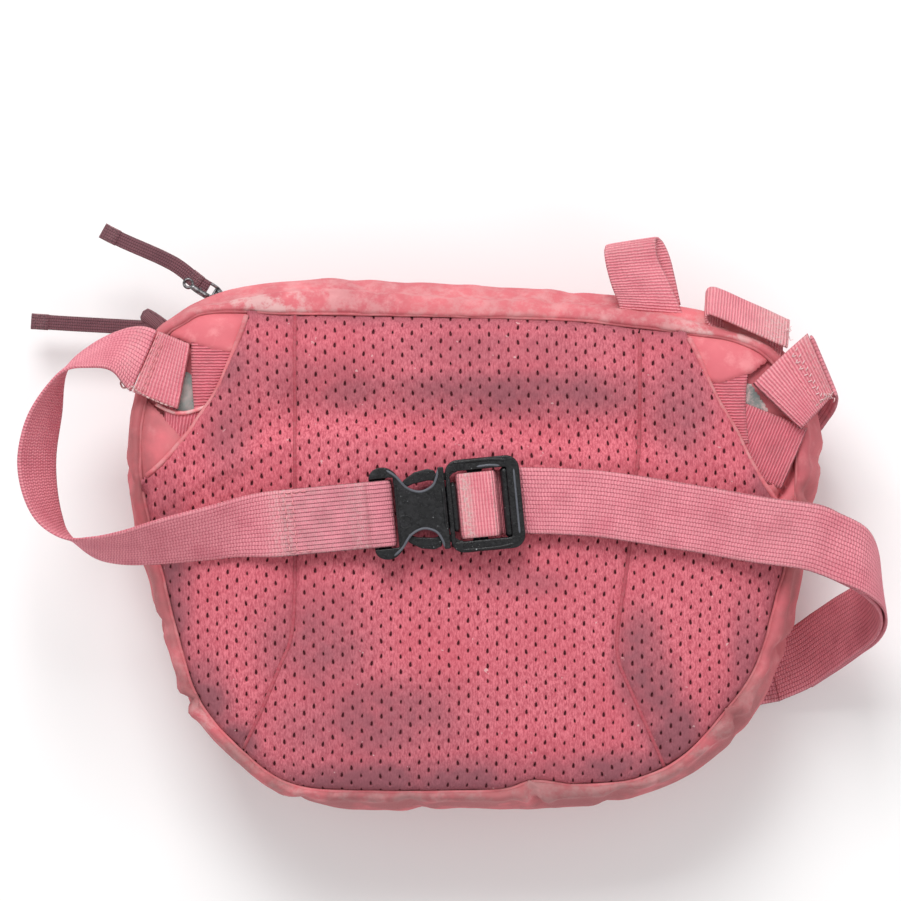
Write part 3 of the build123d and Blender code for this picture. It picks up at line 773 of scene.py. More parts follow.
BELT_RIGHT = [
    belt_station(28.3, -4.1),
    ((48.8, 28.0, 78.6), (46.6, 3.4, 78.6)),
    ((78.9, 23.6, 78.4), (75.5, -1.0, 77.4)),
    ((112.5, 18.1, 79.4), (107.5, -6.2, 77.6)),
    ((130.9, 15.3, 80.4), (126.0, -9.0, 78.2)),
    ((140.0, 10.8, 79.0), (137.0, -12.6, 80.2)),
    ((148.4, 4.0, 72.6), (146.0, -16.0, 79.6)),
    ((153.8, -5.4, 60.6), (153.0, -22.0, 74.4)),
    ((153.6, -11.0, 48.4), (156.6, -30.0, 63.6)),
    ((149.6, -16.0, 38.2), (155.4, -37.4, 51.0)),
    ((142.4, -21.4, 28.4), (149.4, -44.2, 38.0)),
    ((134.8, -27.8, 20.2), (141.4, -51.0, 25.6)),
    ((127.2, -34.0, 13.4), (133.4, -57.4, 15.4)),
    ((117.0, -39.0, 8.4), (122.6, -63.2, 8.6)),
]
# the right belt and the tail under it, made without a body and left unattached
for name, node, stations, thickness, lift, seed in (
    ("right_belt", "belt_right", BELT_RIGHT, 1.4, 0.0, 6),
    ("right_belt_tail", "belt_right_tail", BELT_RIGHT[:13], 1.2, 2.0, 7),
):
    made = strap(name, stations, webbing_mat, "", "", (), thickness=thickness, lift=lift, seed=seed, grime=0.1,
                 wear=((0.45, 0.08, 0.12),), wobble=0.3)
    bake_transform(made)
    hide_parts(node)

strap("right_belt_under", [
    ((116.8, -39.1, 8.2), (122.4, -63.3, 8.4)),
    ((104.0, -41.0, 6.6), (107.6, -65.4, 6.6)),
    ((98.4, -37.6, 5.0), (91.6, -61.6, 5.0)),
    ((114.0, -36.0, 2.2), (90.2, -43.4, 2.2)),
    ((123.0, -12.0, 1.8), (98.6, -7.0, 1.8)),
    ((126.0, 13.8, 2.2), (101.8, 19.8, 2.0)),
    ((132.6, 34.6, 6.6), (109.4, 43.6, 6.2)),
    ((139.4, 45.8, 20.6), (121.4, 62.8, 19.8)),
    ((141.2, 51.0, 40.0), (127.6, 72.0, 39.6)),
    ((140.6, 55.4, 56.0), (130.6, 78.2, 56.0)),
    ((138.6, 56.2, 71.6), (128.8, 79.2, 71.6)),
], webbing_mat, "pack", "webbing", ["belt_right_under"], seed=8, grime=0.35, wobble=0.2)

# name: (CAD node, height in mm, pairs of edge points along the arm)
YOKES = {
    "left_yoke": ("yoke_left", 69.3, [(-105.5, 78), (-80.5, 78), (-105.5, 66), (-80.5, 66), (-104.5, 50.5),
                                      (-79.5, 51.5)]),
    "left_yoke_lower": ("yoke_left_lower", 68.9, [(-97.0, 53.4), (-105, 29), (-109.4, 49.6), (-112, 27),
                                                  (-115.5, 53.0), (-116.5, 30)]),
    "right_yoke": ("yoke_right", 69.2, [(105.4, 66), (80.4, 66), (104.6, 58), (79.6, 58), (104.6, 48),
                                        (79.6, 48), (105.6, 38.6), (80.8, 37.4)]),
    "right_yoke_lower": ("yoke_right_lower", 68.5, [(104.5, 53.5), (95, 30.5), (116, 48.8), (106.5, 26),
                                                    (128, 44), (118, 21)]),
}
for name, (node, height, corners) in YOKES.items():
    pairs = [((*corners[i], height), (*corners[i + 1], height)) for i in range(0, len(corners), 2)]
    strap(name, pairs, yoke_mat, "pack", "webbing", [node], seed=len(name), grime=0.2, wobble=0.1,
          wear=((1.0, 0.06, 0.3),))

# the belt's folded ends, name: (CAD node, outer end, inner end, fold), each by both of its edges
HEMS = {
    "left_belt_end": ("belt_left_end", ((-127.5, 58.2), (-118.0, 80.5)), ((-111.4, 52.1), (-107.0, 75.8)),
                      ((-110.8, 51.9), (-106.4, 75.6))),
    "right_belt_end": ("belt_right_end", ((127.6, 80.0), (137.4, 57.0)), ((108.6, 62.6), (126.4, 45.0)),
                       ((108.0, 62.0), (125.8, 44.4))),
}
for name, (node, outer, inner, fold) in HEMS.items():
    path = [(outer, 70.75), (inner, 70.75), (fold, 71.45), (inner, 72.15), (outer, 72.15)]
    strap(name, [((*a, z), (*b, z)) for (a, b), z in path], block_mat, "pack", "webbing", [node],
          thickness=1.2, seed=11, step=0.7, wobble=0.05, wear=((0.45, 0.06, 0.2), (1.0, 0.1, 0.5)), grime=0.1)

strap("haul_loop_webbing", [
    ((58.0, 86.0, 62.0), (82.0, 84.0, 57.0)),
    ((56.4, 92.0, 65.6), (80.0, 91.0, 57.6)),
    ((53.6, 99.0, 68.2), (75.4, 101.0, 56.6)),
    ((51.6, 106.0, 68.8), (71.8, 108.4, 54.6)),
    ((51.0, 110.8, 67.8), (70.8, 114.0, 53.6)),
    ((51.4, 113.2, 65.0), (71.6, 117.0, 51.0)),
    ((52.6, 112.6, 61.4), (73.8, 116.4, 48.2)),
    ((54.4, 107.6, 58.6), (77.0, 110.4, 46.4)),
    ((55.6, 100.0, 57.0), (79.0, 102.6, 46.6)),
    ((56.8, 91.0, 55.6), (81.0, 91.6, 49.0)),
], block_mat, "pack", "webbing", ["haul_loop"], seed=12, grime=0.12, wear=((0.5, 0.05, 0.3),), step=1.0)
strap("lash_loop_webbing", [
    ((122.6, 85.4, 51.4), (120.4, 74.8, 67.8)),
    ((107.0, 92.4, 51.8), (105.0, 81.6, 68.4)),
    ((96.6, 97.0, 51.8), (94.6, 86.2, 68.2)),
    ((92.4, 98.0, 50.6), (90.6, 87.6, 67.0)),
    ((91.4, 96.2, 48.4), (89.6, 85.8, 64.6)),
    ((94.4, 92.6, 46.8), (92.6, 82.4, 62.8)),
    ((106.4, 87.4, 46.4), (104.6, 77.4, 62.4)),
    ((120.6, 81.0, 47.4), (118.8, 71.6, 62.8)),
], block_mat, "pack", "webbing", ["lash_loop"], seed=13, grime=0.12, width=20.0,
    wear=((0.04, 0.14, 1.2), (0.5, 0.08, 0.3)), step=1.0)

# ------------------------------------------------------------------ seams and hems of the padded panels
for name, line in (("panel_hem_left", left_edge), ("panel_hem_right", right_edge)):
    run = line[inside(line, back_line) & (nearest(line, back_line)[0] > 1.0)]
    add_piece(name, tube(np.column_stack([run, np.full(len(run), 70.9)]), 0.95, 10), wing_mat, "pack",
              wear=(0.35, 0.3))
for name, line in (("panel_seam_left", left_seam), ("panel_seam_right", right_seam)):
    run = line[inside(line, back_line)]
    add_piece(name, tube(np.column_stack([run, deck(run) - 1.7]), 0.8), seam_mat, "pack")

# ------------------------------------------------------------------ shell of the pack
ANGLES = 384
theta = np.arange(ANGLES) * 2 * math.pi / ANGLES
outward = np.column_stack([np.cos(theta), np.sin(theta)])


def reach_of(node, height):
    """Outer radius in mm of a CAD node at one height, one per angle, from outside inwards."""
    tree = BVHTree.FromObject(nodes[node], bpy.context.evaluated_depsgraph_get())
    radii = np.zeros(ANGLES)
    for i, (c, k) in enumerate(outward):
        hit = tree.ray_cast(Vector((0.4 * c, 0.4 * k, height * MM)), Vector((-c, -k, 0)))
        radii[i] = np.nan if hit[0] is None else math.hypot(hit[0].x, hit[0].y) / MM
    good = ~np.isnan(radii)
    return np.interp(np.arange(ANGLES), np.arange(ANGLES)[good], radii[good], period=ANGLES)


def line_reach(line):
    """Radius in mm of a closed plan line at each angle."""
    turn = np.arctan2(line[:, 1], line[:, 0]) % (2 * math.pi)
    order = np.argsort(turn)
    return np.interp(theta, turn[order], np.hypot(*line[order].T), period=2 * math.pi)


SHELL_HEIGHTS = [62, 53, 46.6, 33.4, 24.4, 12.4]
cad_reach = {h: reach_of("gusset", h) for h in SHELL_HEIGHTS}
seam_reach = line_reach(back_line)
front_reach = {h: reach_of("front_panel", h) for h in (11.4, 8.0, 4.8, 2.2)}


def ring_line(radius, height):
    """Points at a radius per angle and a height in mm."""
    return np.column_stack([radius * np.cos(theta), radius * np.sin(theta), np.broadcast_to(height, (ANGLES,))])


def shell_rings():
    """Rings of (radius, height) from inside the back seam down to the front seam, and each control's row."""
    bulge = 2.4
    controls = [
        (seam_reach - 1.4, 63.2), (seam_reach - 0.4, 66.6), (seam_reach + 1.2, 67.6),
        (np.maximum(seam_reach + 3.0, cad_reach[62] + 0.6), 66.0),
        (np.maximum(seam_reach + 4.4, cad_reach[62] + 2.0), 61.0),
        (cad_reach[53] + bulge, 53), (cad_reach[46.6] + bulge, 46.2), (cad_reach[33.4] + 0.9, 33.8),
        (cad_reach[24.4] + 0.6, 24.2), (cad_reach[12.4] + 0.3, 12.2),
    ]
    steps = [2, 2, 2, 4, 5, 4, 7, 6, 7]
    rows, marks = [], [0]
    data = [np.column_stack([r, np.full(ANGLES, z)]) for r, z in controls]
    for i, count in enumerate(steps):
        p1, p2 = data[i], data[i + 1]
        p0 = data[i - 1] if i else 2 * p1 - p2
        p3 = data[i + 2] if i + 2 < len(data) else 2 * p2 - p1
        rows += [spline(p0, p1, p2, p3, t) for t in np.arange(count) / count]
        marks.append(marks[-1] + count)
    rows.append(data[-1])
    return rows, marks


# (angle and half width in degrees, depth in mm, slant in degrees per mm, height of its middle, half height)
GUSSET_FOLDS = [
    (208.9, 1.1, 2.4, 0.10, 62, 12), (284.6, 1.0, 2.2, -0.12, 64, 9), (326.6, 1.2, 2.8, 0.16, 63, 12),
    (300, 1.6, 1.2, 0.2, 58, 14), (258, 1.8, 1.2, -0.2, 56, 14), (236, 1.5, 1.3, 0.15, 57, 12),
    (342, 1.3, 1.6, -0.2, 56, 13), (8, 1.2, 1.8, 0.18, 58, 13), (14, 1.0, 1.4, 0.1, 52, 12),
    (168, 1.3, 1.4, 0.2, 56, 12), (180, 1.2, 1.3, -0.15, 54, 14), (194, 1.4, 1.5, 0.1, 55, 12),
    (70, 1.8, 0.9, 0.3, 58, 8), (112, 2.0, 1.0, -0.3, 58, 8), (220, 1.2, 1.4, -0.25, 26, 9),
    (250, 1.4, 1.2, 0.25, 24, 9), (275, 1.2, 1.3, -0.2, 26, 9), (310, 1.4, 1.4, 0.2, 26, 9),
    (352, 1.2, 1.2, -0.2, 28, 10), (188, 1.2, 1.3, 0.2, 28, 10),
]
WRINKLE_RADIUS = 118.0      # noise is read on a cylinder of this radius, so that it meets itself


def shell_wrinkles(angle, height):
    """How far the shell's fabric stands out or in, in mm, per angle (radians) and height (mm)."""
    degrees = np.degrees(angle)
    around = np.column_stack([WRINKLE_RADIUS * np.cos(angle), WRINKLE_RADIUS * np.sin(angle), height])
    out = 0.9 * rough(around * (1, 1, 0.8), 33, 21, 2) + 0.3 * rough(around, 12, 22, 2)
    gathers = rough(around * (1, 1, 0.25), 8.5, 23, 2)
    out += 0.6 * gathers * (np.exp(-np.abs(66 - height) / 7) + 1.4 * np.exp(-np.abs(12 - height) / 5))
    for at, half, depth, slant, middle, tall in GUSSET_FOLDS:
        off = (degrees - at - slant * (height - middle) + 180) % 360 - 180
        shoulders = 0.55 * bump(np.abs(off), 2.1 * half, 1.3 * half)
        out += depth * bump(height, middle, tall) * (shoulders - bump(off, 0, half))
    return out


def zip_line(prefix):
    """A zip's two ends on its tape's face, and its height, from the CAD tape; only the main one slants."""
    low, high = (np.array(v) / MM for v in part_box(f"{prefix}_zip_tape"))
    drop = high[1] - low[1] - 0.8 if prefix == "main" else 0.0
    return (low[0], high[1]), (high[0], high[1] - drop), (low[2] + high[2]) / 2


ZIPS = {prefix: zip_line(prefix) for prefix in ("main", "front")}


def tape_y(prefix, x):
    (x0, y0), (x1, y1), _ = ZIPS[prefix]
    return y0 + (y1 - y0) * (x - x0) / (x1 - x0)


# the zips' slits open between these controls of shell_rings, on the side above SLIT_SIDE
SLIT_CONTROLS = {"main": (6, 7), "front": (8, 9)}
SLIT_SIDE = 20.0
LIP_STEPS = ((0.15, -0.5), (0.6, -0.8), (1.0, -0.4))      # (share of the way to the tape, drop)


def slit_lip(prefix, points, row, sign, base):
    """Three lines of points and their faces that turn one edge of a zip's slit in to its tape."""
    (x0, _), (x1, _), middle = ZIPS[prefix]
    columns = [c for c in range(ANGLES)
               if points[row, c, 1] > SLIT_SIDE and x0 + 0.5 < points[row, c, 0] < x1 + 4.5]
    columns.sort(key=lambda c: points[row, c, 0])
    goal_z = middle + sign * 4.9
    made, faces = [], []
    for depth, shift in LIP_STEPS:
        for x, y, z in points[row, columns]:
            goal = tape_y(prefix, x) + 0.7
            made.append((x, y + (goal - y) * depth, z + (goal_z - z) * min(1, depth * 1.1) + sign * shift * 0.6))
    count = len(columns)
    ids = [[row * ANGLES + c for c in columns]] + [[base + k * count + i for i in range(count)] for k in range(3)]
    for outer, inner in zip(ids, ids[1:]):
        for i in range(count - 1):
            quad = (outer[i], outer[i + 1], inner[i + 1], inner[i])
            faces.append(quad if sign > 0 else quad[::-1])
    return made, faces


def front_rings():
    """Rings of the front panel, down to the floor and inwards underneath."""
    foot = front_reach[2.2]
    controls = [(front_reach[11.4] + 0.4, 11.4), (front_reach[8.0] + 0.6, 8.0), (front_reach[4.8] + 0.8, 4.8),
                (foot + 0.5, 2.2), (foot - 3.2, 0.9), (foot - 8, 0.25)]
    controls += [((foot - 8) * k, 0.12) for k in (0.88, 0.74, 0.6, 0.46, 0.3, 0.15)]
    rings = []
    for k, (radius, height) in enumerate(controls):
        ring = ring_line(radius, height)
        soft = rough(ring, 16, 31, 2)
        if 0 < k < 5:
            ring[:, :2] += outward * (0.9 * soft)[:, None]
        if 4 <= k < 9:
            ring[:, 2] += 0.35 * np.abs(soft)
        rings.append(ring)
    return rings


def shell_wear(points):
    """Dirt below and at both ends, wear at the corners, along the top and on the front seam."""
    x, y, z = points.T
    around = np.degrees(np.arctan2(y, x)) % 360
    low_side = smoothstep(190, 215, around) * (1 - smoothstep(322, 345, around))
    dirt = 0.95 * low_side * smoothstep(40, 60, z) + 0.6 * bump(around, 178, 26) * smoothstep(40, 60, z) + 0.25
    dirt += 0.6 * np.maximum(bump(around, 4, 9), bump(around, 352, 9)) * smoothstep(50, 62, z)
    worn = 0.5 * low_side * smoothstep(60, 66, z) + 0.85 * bump(around, 40, 6) * smoothstep(56, 63, z)
    worn += 0.35 * smoothstep(34, 52, around) * (1 - smoothstep(128, 146, around)) * smoothstep(46, 60, z)
    worn += 0.7 * bump(around, 132, 8) * smoothstep(61, 65, z) + 0.35 * bump(z, 12, 2.5)
    return {"dirt": dirt, "worn": worn}


def make_shell():
    """The fabric shell in one piece, with an open slit for each zip and closed underneath."""
    rows, marks = shell_rings()
    radii, heights = np.moveaxis(np.array(rows), 2, 0)
    angle = np.tile(theta, (len(rows), 1))
    push = shell_wrinkles(angle.ravel(), heights.ravel()).reshape(radii.shape)
    calm = np.ones(len(rows))
    calm[:3] = (0.0, 0.15, 0.3)
    calm[-1] = 0.3
    push *= calm[:, None]
    radii, heights = radii + push, heights + 0.3 * push
    points = np.stack([radii * np.cos(angle), radii * np.sin(angle), heights], 2)

    closed = np.ones((len(rows), ANGLES), bool)
    slits = {prefix: [marks[i] for i in controls] for prefix, controls in SLIT_CONTROLS.items()}
    for prefix, (first, last) in slits.items():
        (x0, _), (x1, _), _ = ZIPS[prefix]
        x, y, _ = np.moveaxis(points[first:last], 2, 0)
        closed[first:last] = ~((y > SLIT_SIDE) & (x0 + 1.5 < x) & (x < x1 + 3.5))
    faces = []
    for r in range(len(rows) - 1):
        for c in np.flatnonzero(closed[r]).tolist():
            a, b, d = r * ANGLES, (r + 1) * ANGLES, (c + 1) % ANGLES
            faces.append((a + c, b + c, b + d, a + d))
    lips = []
    for prefix, (first, last) in slits.items():
        for row, sign in ((first, 1), (last, -1)):
            made, quads = slit_lip(prefix, points, row, sign, len(rows) * ANGLES + len(lips))
            lips += made
            faces += quads

    lower = front_rings()
    base = len(rows) * ANGLES + len(lips)
    starts = [(len(rows) - 1) * ANGLES] + [base + k * ANGLES for k in range(len(lower))]
    for a, b in zip(starts, starts[1:]):
        for c in range(ANGLES):
            d = (c + 1) % ANGLES
            faces.append((a + c, b + c, b + d, a + d))
    faces.append(tuple(starts[-1] + c for c in range(ANGLES)))
    everything = np.vstack([points.reshape(-1, 3), np.array(lips), *lower])
    shell = make_piece("pack_shell", everything, faces, shell_mat, values=shell_wear(everything))
    turn_outward(shell)
    place(shell, "pack", ["gusset", "front_panel"])


make_shell()
waver = rough(ring_line(seam_reach, 0), 9, 41, 2)
add_piece("back_seam_piping", tube(ring_line(seam_reach - 0.5 + 0.3 * waver, 66.3 + 0.3 * waver), 0.65 + 0.1 * waver,
                                   10, closed=True), shell_mat, "pack", ["back_piping"], wear=(0.2, 0.5))
add_piece("front_seam_piping", tube(ring_line(cad_reach[12.4] + 1.0, 11.9), 1.5 + 0.15 * waver, 10, closed=True),
          shell_mat, "pack", wear=(0.5, 0.5))

# ------------------------------------------------------------------ corners: plain fabric over the yokes
def patch(name, guide, spacing, height, replaced=(), material=wing_mat, wear=(0.0, 0.2)):
    """A fabric field inside a guide and the back outline, one point every `spacing` mm."""
    low = np.maximum(guide.min(0), back_line.min(0)) - 2 * spacing
    high = np.minimum(guide.max(0), back_line.max(0)) + 2 * spacing
    across = np.arange(low[0], high[0], spacing)
    up = np.arange(low[1], high[1], spacing)
    gx, gy = np.meshgrid(across, up)
    points = np.column_stack([gx.ravel(), gy.ravel(), 0 * gx.ravel()])
    faces = grid_faces(len(up), len(across))
    points, faces, _ = clipped(points, faces, guide, {})
    points[:, 2] = height(points[:, :2])
    add_piece(name, (points, faces), material, "pack", replaced, wear)


# edges of the fabric flaps that lie over the belt's ends, and the fold right of the right-hand one
LEFT_FLAP = np.array([(-121, 80.5), (-112, 78.4), (-106.8, 76.2), (-100, 74.2), (-95, 73.0), (-87.5, 72.2)])
RIGHT_FLAP = np.array([(84, 63.4), (90.6, 61.6), (95, 61.0), (100.8, 62.8), (106.8, 65.0), (112, 68.6), (121, 75)])
LEFT_LOWER_FLAP = [(-136, 62), (-129.5, 60.2), (-123.1, 55.6), (-114.6, 47.3), (-109.8, 41.6), (-104, 35)]
CREASE = curve_through([(122.5, 41), (124, 33), (121.5, 25), (117, 17.5)], 1.0)


def wing_low(plan):
    """Height of the fabric at the bottom of both corner pockets."""
    d, _ = nearest(plan, back_line)
    flat = np.column_stack([plan, np.zeros(len(plan))])
    crease, _ = nearest(plan, CREASE, closed=False)
    puff = 2.6 * bump(crease, 4.2, 3.0) - 3.0 * bump(crease, 0, 0.9)
    return puff + 64.2 + 3.0 * (1 - np.exp(-d / 6)) + 0.35 * rough(flat, 12, 51, 2) - 1.0 * np.exp(-d / 2)


def wing_high(flap):
    """Height of a flap that lies over the belt's end and runs in under the mesh."""
    def height(plan):
        d, _ = nearest(plan, back_line)
        lip, _ = nearest(plan, flap, closed=False)
        flat = np.column_stack([plan, np.zeros(len(plan))])
        z = 66.0 + 4.9 * (1 - np.exp(-d / 4.5)) + 0.55 * rough(flat, 13, 52, 2) * (1 - np.exp(-d / 4))
        covered = inside(plan, guides["left"]) | inside(plan, guides["right"])
        edge = np.minimum(nearest(plan, left_edge, closed=False)[0], nearest(plan, right_edge, closed=False)[0])
        z -= 3.2 * covered * smoothstep(0.2, 2.5, edge)
        return z - 1.3 * bump(lip, 0, 0.7) - 1.6 * np.exp(-d / 1.2)
    return height


inner_left = np.vstack([left_edge + (3.5, -2.0), [(-160, 130)]])
inner_right = np.vstack([right_edge + (-3.5, -2.5), [(160, 130)]])
patch("corner_wing_lower_left", inner_left, 1.5, wing_low, ["corner_wing_left"], wear=(0.0, 0.4))
patch("corner_wing_lower_right", inner_right, 1.5, wing_low, ["corner_wing_right"], wear=(0.0, 0.35))
flap = curve_through(LEFT_FLAP, 1.5)
above = np.vstack([flap, [(-79, 71), (-76, 120), (-140, 120)]])
patch("corner_flap_left", above, 1.2, wing_high(flap), wear=(0.0, 0.12))
flap = curve_through(LEFT_LOWER_FLAP, 1.5)
below = np.vstack([flap, inner_left[inner_left[:, 1] < 34][::-1], [(-160, 62)]])
patch("corner_flap_lower_left", below, 1.2, wing_high(flap), wear=(0.0, 0.6))
edge = curve_through([(-119, 53.3, 69.7), (-114.4, 50.9, 69.8), (-109.4, 49.8, 69.9), (-104, 50.9, 70.0),
                      (-97.4, 53.3, 70.2)], 0.8)
add_piece("left_yoke_lower_edge", tube(edge, 0.75), wing_mat, "pack", wear=(1.3, 0.0))
flap = curve_through(RIGHT_FLAP, 1.5)
above = np.vstack([flap, [(140, 90), (140, 120), (74, 120), (74, 64)]])
patch("corner_flap_right", above, 1.2, wing_high(flap), wear=(0.0, 0.12))

# the right patch is made much paler than the left (worn 1.0 against 0.4): painted light, the right one lying in light
# and the left in shade
for side, corners, height, worn in (
    ("left", [(-112, 49.5), (-103, 49.5), (-103, 63), (-108, 66)], 67.75, 0.4),
    ("right", [(103, 49), (113.6, 50.6), (106.5, 61.5), (103, 61)], 68.0, 1.0),
):
    patch(f"sleeve_lining_patch_{side}", np.array(corners, float), 1.0,
          lambda plan, h=height: h + 0.2 * np.sin(plan[:, 0]) * np.cos(plan[:, 1]),
          [f"sleeve_lining_{side}"], lining_mat, (worn, 0.1))

# ------------------------------------------------------------------ zips
TAPE_WIDTH, COIL_PITCH = 11.0, 1.5
joint_at = {j["name"]: np.array(j.get("pos_m") or (0, 0, 0), float) / MM for j in frame["joints"]}


def make_zip(prefix):
    """A zip's tape behind its slit and the coil's teeth, one by one."""
    (x0, y0), (x1, y1), height = ZIPS[prefix]
    stations = []
    for t in np.linspace(0, 1.04, 10):
        tuck = 3.0 * (1 - float(smoothstep(0, 0.12, t))) if prefix == "front" else 0.0
        x, y = x0 + (x1 - x0) * t, y0 + (y1 - y0) * t - 0.4 - tuck
        stations.append(((x, y, height + TAPE_WIDTH / 2), (x, y, height - TAPE_WIDTH / 2)))
    strap(f"{prefix}_tape", stations, tape_mat, "pack", "zip_tape", [f"{prefix}_zip_tape"], thickness=0.8,
          seed=61, wobble=0.1, width=TAPE_WIDTH, step=2.0, across=14, grime=0.3)
    along = np.array((x1 - x0, y1 - y0, 0.0))
    length = np.linalg.norm(along)
    along /= length
    normal = np.array((-along[1], along[0], 0.0))
    parts = []
    for i in range(int((length - 5) / COIL_PITCH)):
        centre = np.array((x0, y0, height)) + along * (2.5 + COIL_PITCH * i) + normal * 0.55
        lean = 0.35 * (-1) ** i
        ends = [centre + along * lean * k / 2 + np.array((0, 0, 1.0)) * 1.85 * k + normal * (0.5 - 0.35 * abs(k))
                for k in (-1, -0.6, 0, 0.6, 1)]
        parts.append(tube(ends, 0.55 * np.array((0.55, 1, 1, 1, 0.55)), sides=6))
    add_piece(f"{prefix}_coil", joined(parts), coil_mat, "pack", [f"{prefix}_zip_coil"])


# half of the wire link's outline and of its two thick arms: (distance out, half width) in mm
LINK_HALF = [(0.0, 1.3), (0.9, 2.2), (6.5, 2.2), (12.4, 2.3), (13.4, 1.4)]
LINK_ARM = [(1.0, 1.2), (4.0, 1.25), (7.6, 1.3)]


def make_pull(prefix, direction, reach, bends, plate_off):
    """A twisted wire link on the slider's bridge, a side plate, and the flat tape looped through.

    `direction` is in degrees in plan, `reach` the tape's end in mm. `bends` holds (from, to, amount) sideways,
    and `plate_off` is how far the plate lies to that side.
    """
    body = f"{prefix}_pull"
    start = joint_at[f"{prefix}_pull_swing"]
    angle = math.radians(direction)
    aim = np.array((math.cos(angle), math.sin(angle), 0.0))
    side = np.array((-aim[1], aim[0], 0.0))
    up = np.array((0.0, 0.0, 1.0))
    loop = curve_through(LINK_HALF + [(s, -w) for s, w in reversed(LINK_HALF)], 0.6, closed=True)

    def on_link(s, w):
        twist = math.radians(80) * float(smoothstep(2.5, 10, s))
        return start + aim * (s - 1.6) + w * (math.cos(twist) * up + math.sin(twist) * side)

    parts = [tube([on_link(s, w) for s, w in loop], 0.62, 8, closed=True),
             tube([on_link(8.2, w) for w in np.linspace(-2.1, 2.1, 5)], 0.55, 8)]
    parts += [tube([on_link(s, k * w) for s, w in LINK_ARM], 1.0) for k in (-1, 1)]
    add_piece(f"{prefix}_link", joined(parts), metal_mat, body, [f"{prefix}_pull_link"])

    def tape_at(t, lift=0.0):
        off = sum(amount * float(smoothstep(low, high, t)) for low, high, amount in bends)
        return start + aim * t + side * off + up * lift

    rail = [tape_at(t, 1.1) + plate_off * side for t in np.linspace(8.0, 15.4, 9)]
    eye = [tape_at(17.0, 1.1) + plate_off * side + 1.7 * (math.cos(a) * aim + math.sin(a) * side)
           for a in np.linspace(0, 2 * math.pi, 19)[:-1]]
    add_piece(f"{prefix}_link_plate", joined([tube(rail, 1.15, 10), tube(eye, 0.6, 8, closed=True)]), metal_mat,
              body)

    def tape_strap(name, low, high, count, width, behind=0.0, **how):
        stations = []
        for t in np.linspace(low, high, count):
            ahead = tape_at(t + 0.5) - tape_at(t - behind)
            across = np.array((-ahead[1], ahead[0], 0.0))
            across *= width / 2 / np.linalg.norm(across)
            stations.append((tape_at(t) + across, tape_at(t) - across))
        strap(name, stations, pull_mat, body, "pull_tape", width=width, across=12, **how)

    tape_strap(f"{prefix}_tape_pull", 9.4, reach, 13, 5.8, behind=0.5, replaced=[f"{prefix}_pull_tape"],
               thickness=1.5, seed=71, wobble=0.08, step=0.9, wear=((1.0, 0.04, 0.25),))
    for end, low, high in (("tip", reach - 6.5, reach + 0.2), ("root", 13.0, 18.0)):
        tape_strap(f"{prefix}_pull_{end}", low, high, 4, 6.2, replaced=(), thickness=2.5, seed=73, wobble=0.02,
                   step=0.7, wear=((0.5, 0.5, 0.12),))
    lines = []
    for t in (14.2, 16.8, reach - 5.2, reach - 1.6):
        centre = tape_at(t, 1.28)
        lines.append([centre + 2.5 * side, centre - 2.5 * side])
    for w in (-2.2, 2.2):
        lines.append([tape_at(reach - 5.4, 1.28) + w * side, tape_at(reach - 1.2, 1.28) + w * side])
    add_piece(f"{prefix}_pull_stitches", stitches(lines, 1.1, 0.5, 0.15, 0.05), dark_thread_mat, body)


for prefix in ("main", "front"):
    make_zip(prefix)
    nodes[f"{prefix}_zip_slider"].data.materials.clear()
    nodes[f"{prefix}_zip_slider"].data.materials.append(metal_mat)
make_pull("main", 151, 55.8, [(10, 26, -2.0), (26, 55, 2.0)], 2.7)
make_pull("front", 176, 80.8, [(14, 80, 0.8)], -1.2)
TAB_HEIGHT = 47.4
tab = curve_through([(-113, 79.6, 47.2), (-118, 83.2, 47.4), (-122.6, 86.4, 47.5), (-126.2, 88.2, 47.5)], 0.7)
points, faces = tube(tab, 3.0 * np.minimum(1.0, 0.45 + 0.28 * np.arange(len(tab))[::-1]), 14)
points[:, 2] = TAB_HEIGHT + 0.5 * (points[:, 2] - TAB_HEIGHT)
add_piece("zip_end_pull", (points, faces), pull_mat, "pack", ["zip_end_tab"], wear=(0.1, 0.0),
          uv=np.column_stack([points[:, 0] + points[:, 1], points[:, 2]]))

# ------------------------------------------------------------------ stitching
def block_point(outer, inner, p, q, z):
    """A point on a belt end: p from its fold (0) to its outer edge (1), q across it."""
    a = np.array(inner[0]) * (1 - p) + np.array(outer[0]) * p
    b = np.array(inner[1]) * (1 - p) + np.array(outer[1]) * p
    return (*(a * (1 - q) + b * q), z)


HEM_TOP = 73.15      # height of the stitches on the belt's ends
_, outer, inner, _ = HEMS["left_belt_end"]
lines = [[block_point(outer, inner, p, q, HEM_TOP) for q in (0.03, 0.97)] for p in (0.97, 0.80, 0.74)]
lines += [[belt_point(along, side, height) for side in (-11.4, 11.4)]
          for along, height in ((-60.4, -1.6), (-57.6, -1.4))]
lines += [[belt_point(-60.4, side, -1.6), belt_point(-51, side, -0.9)] for side in (-11.2, 11.2)]
_, outer, inner, _ = HEMS["right_belt_end"]
lines += [[block_point(outer, inner, p, q, HEM_TOP) for q in (0.04, 0.96)] for p in (0.52, 0.86)]
zigzag = [block_point(outer, inner, 0.60 if i % 2 else 0.78, 0.05 + 0.9 * i / 16, 73.2) for i in range(17)]
add_piece("belt_stitching", stitches(lines, 2.0, 0.9, 0.2, 0.12), thread_mat, "pack")
add_piece("zigzag_stitching", stitches(list(zip(zigzag, zigzag[1:])), 1.6, 0.9, 0.2, 0.12), pale_thread_mat, "pack")

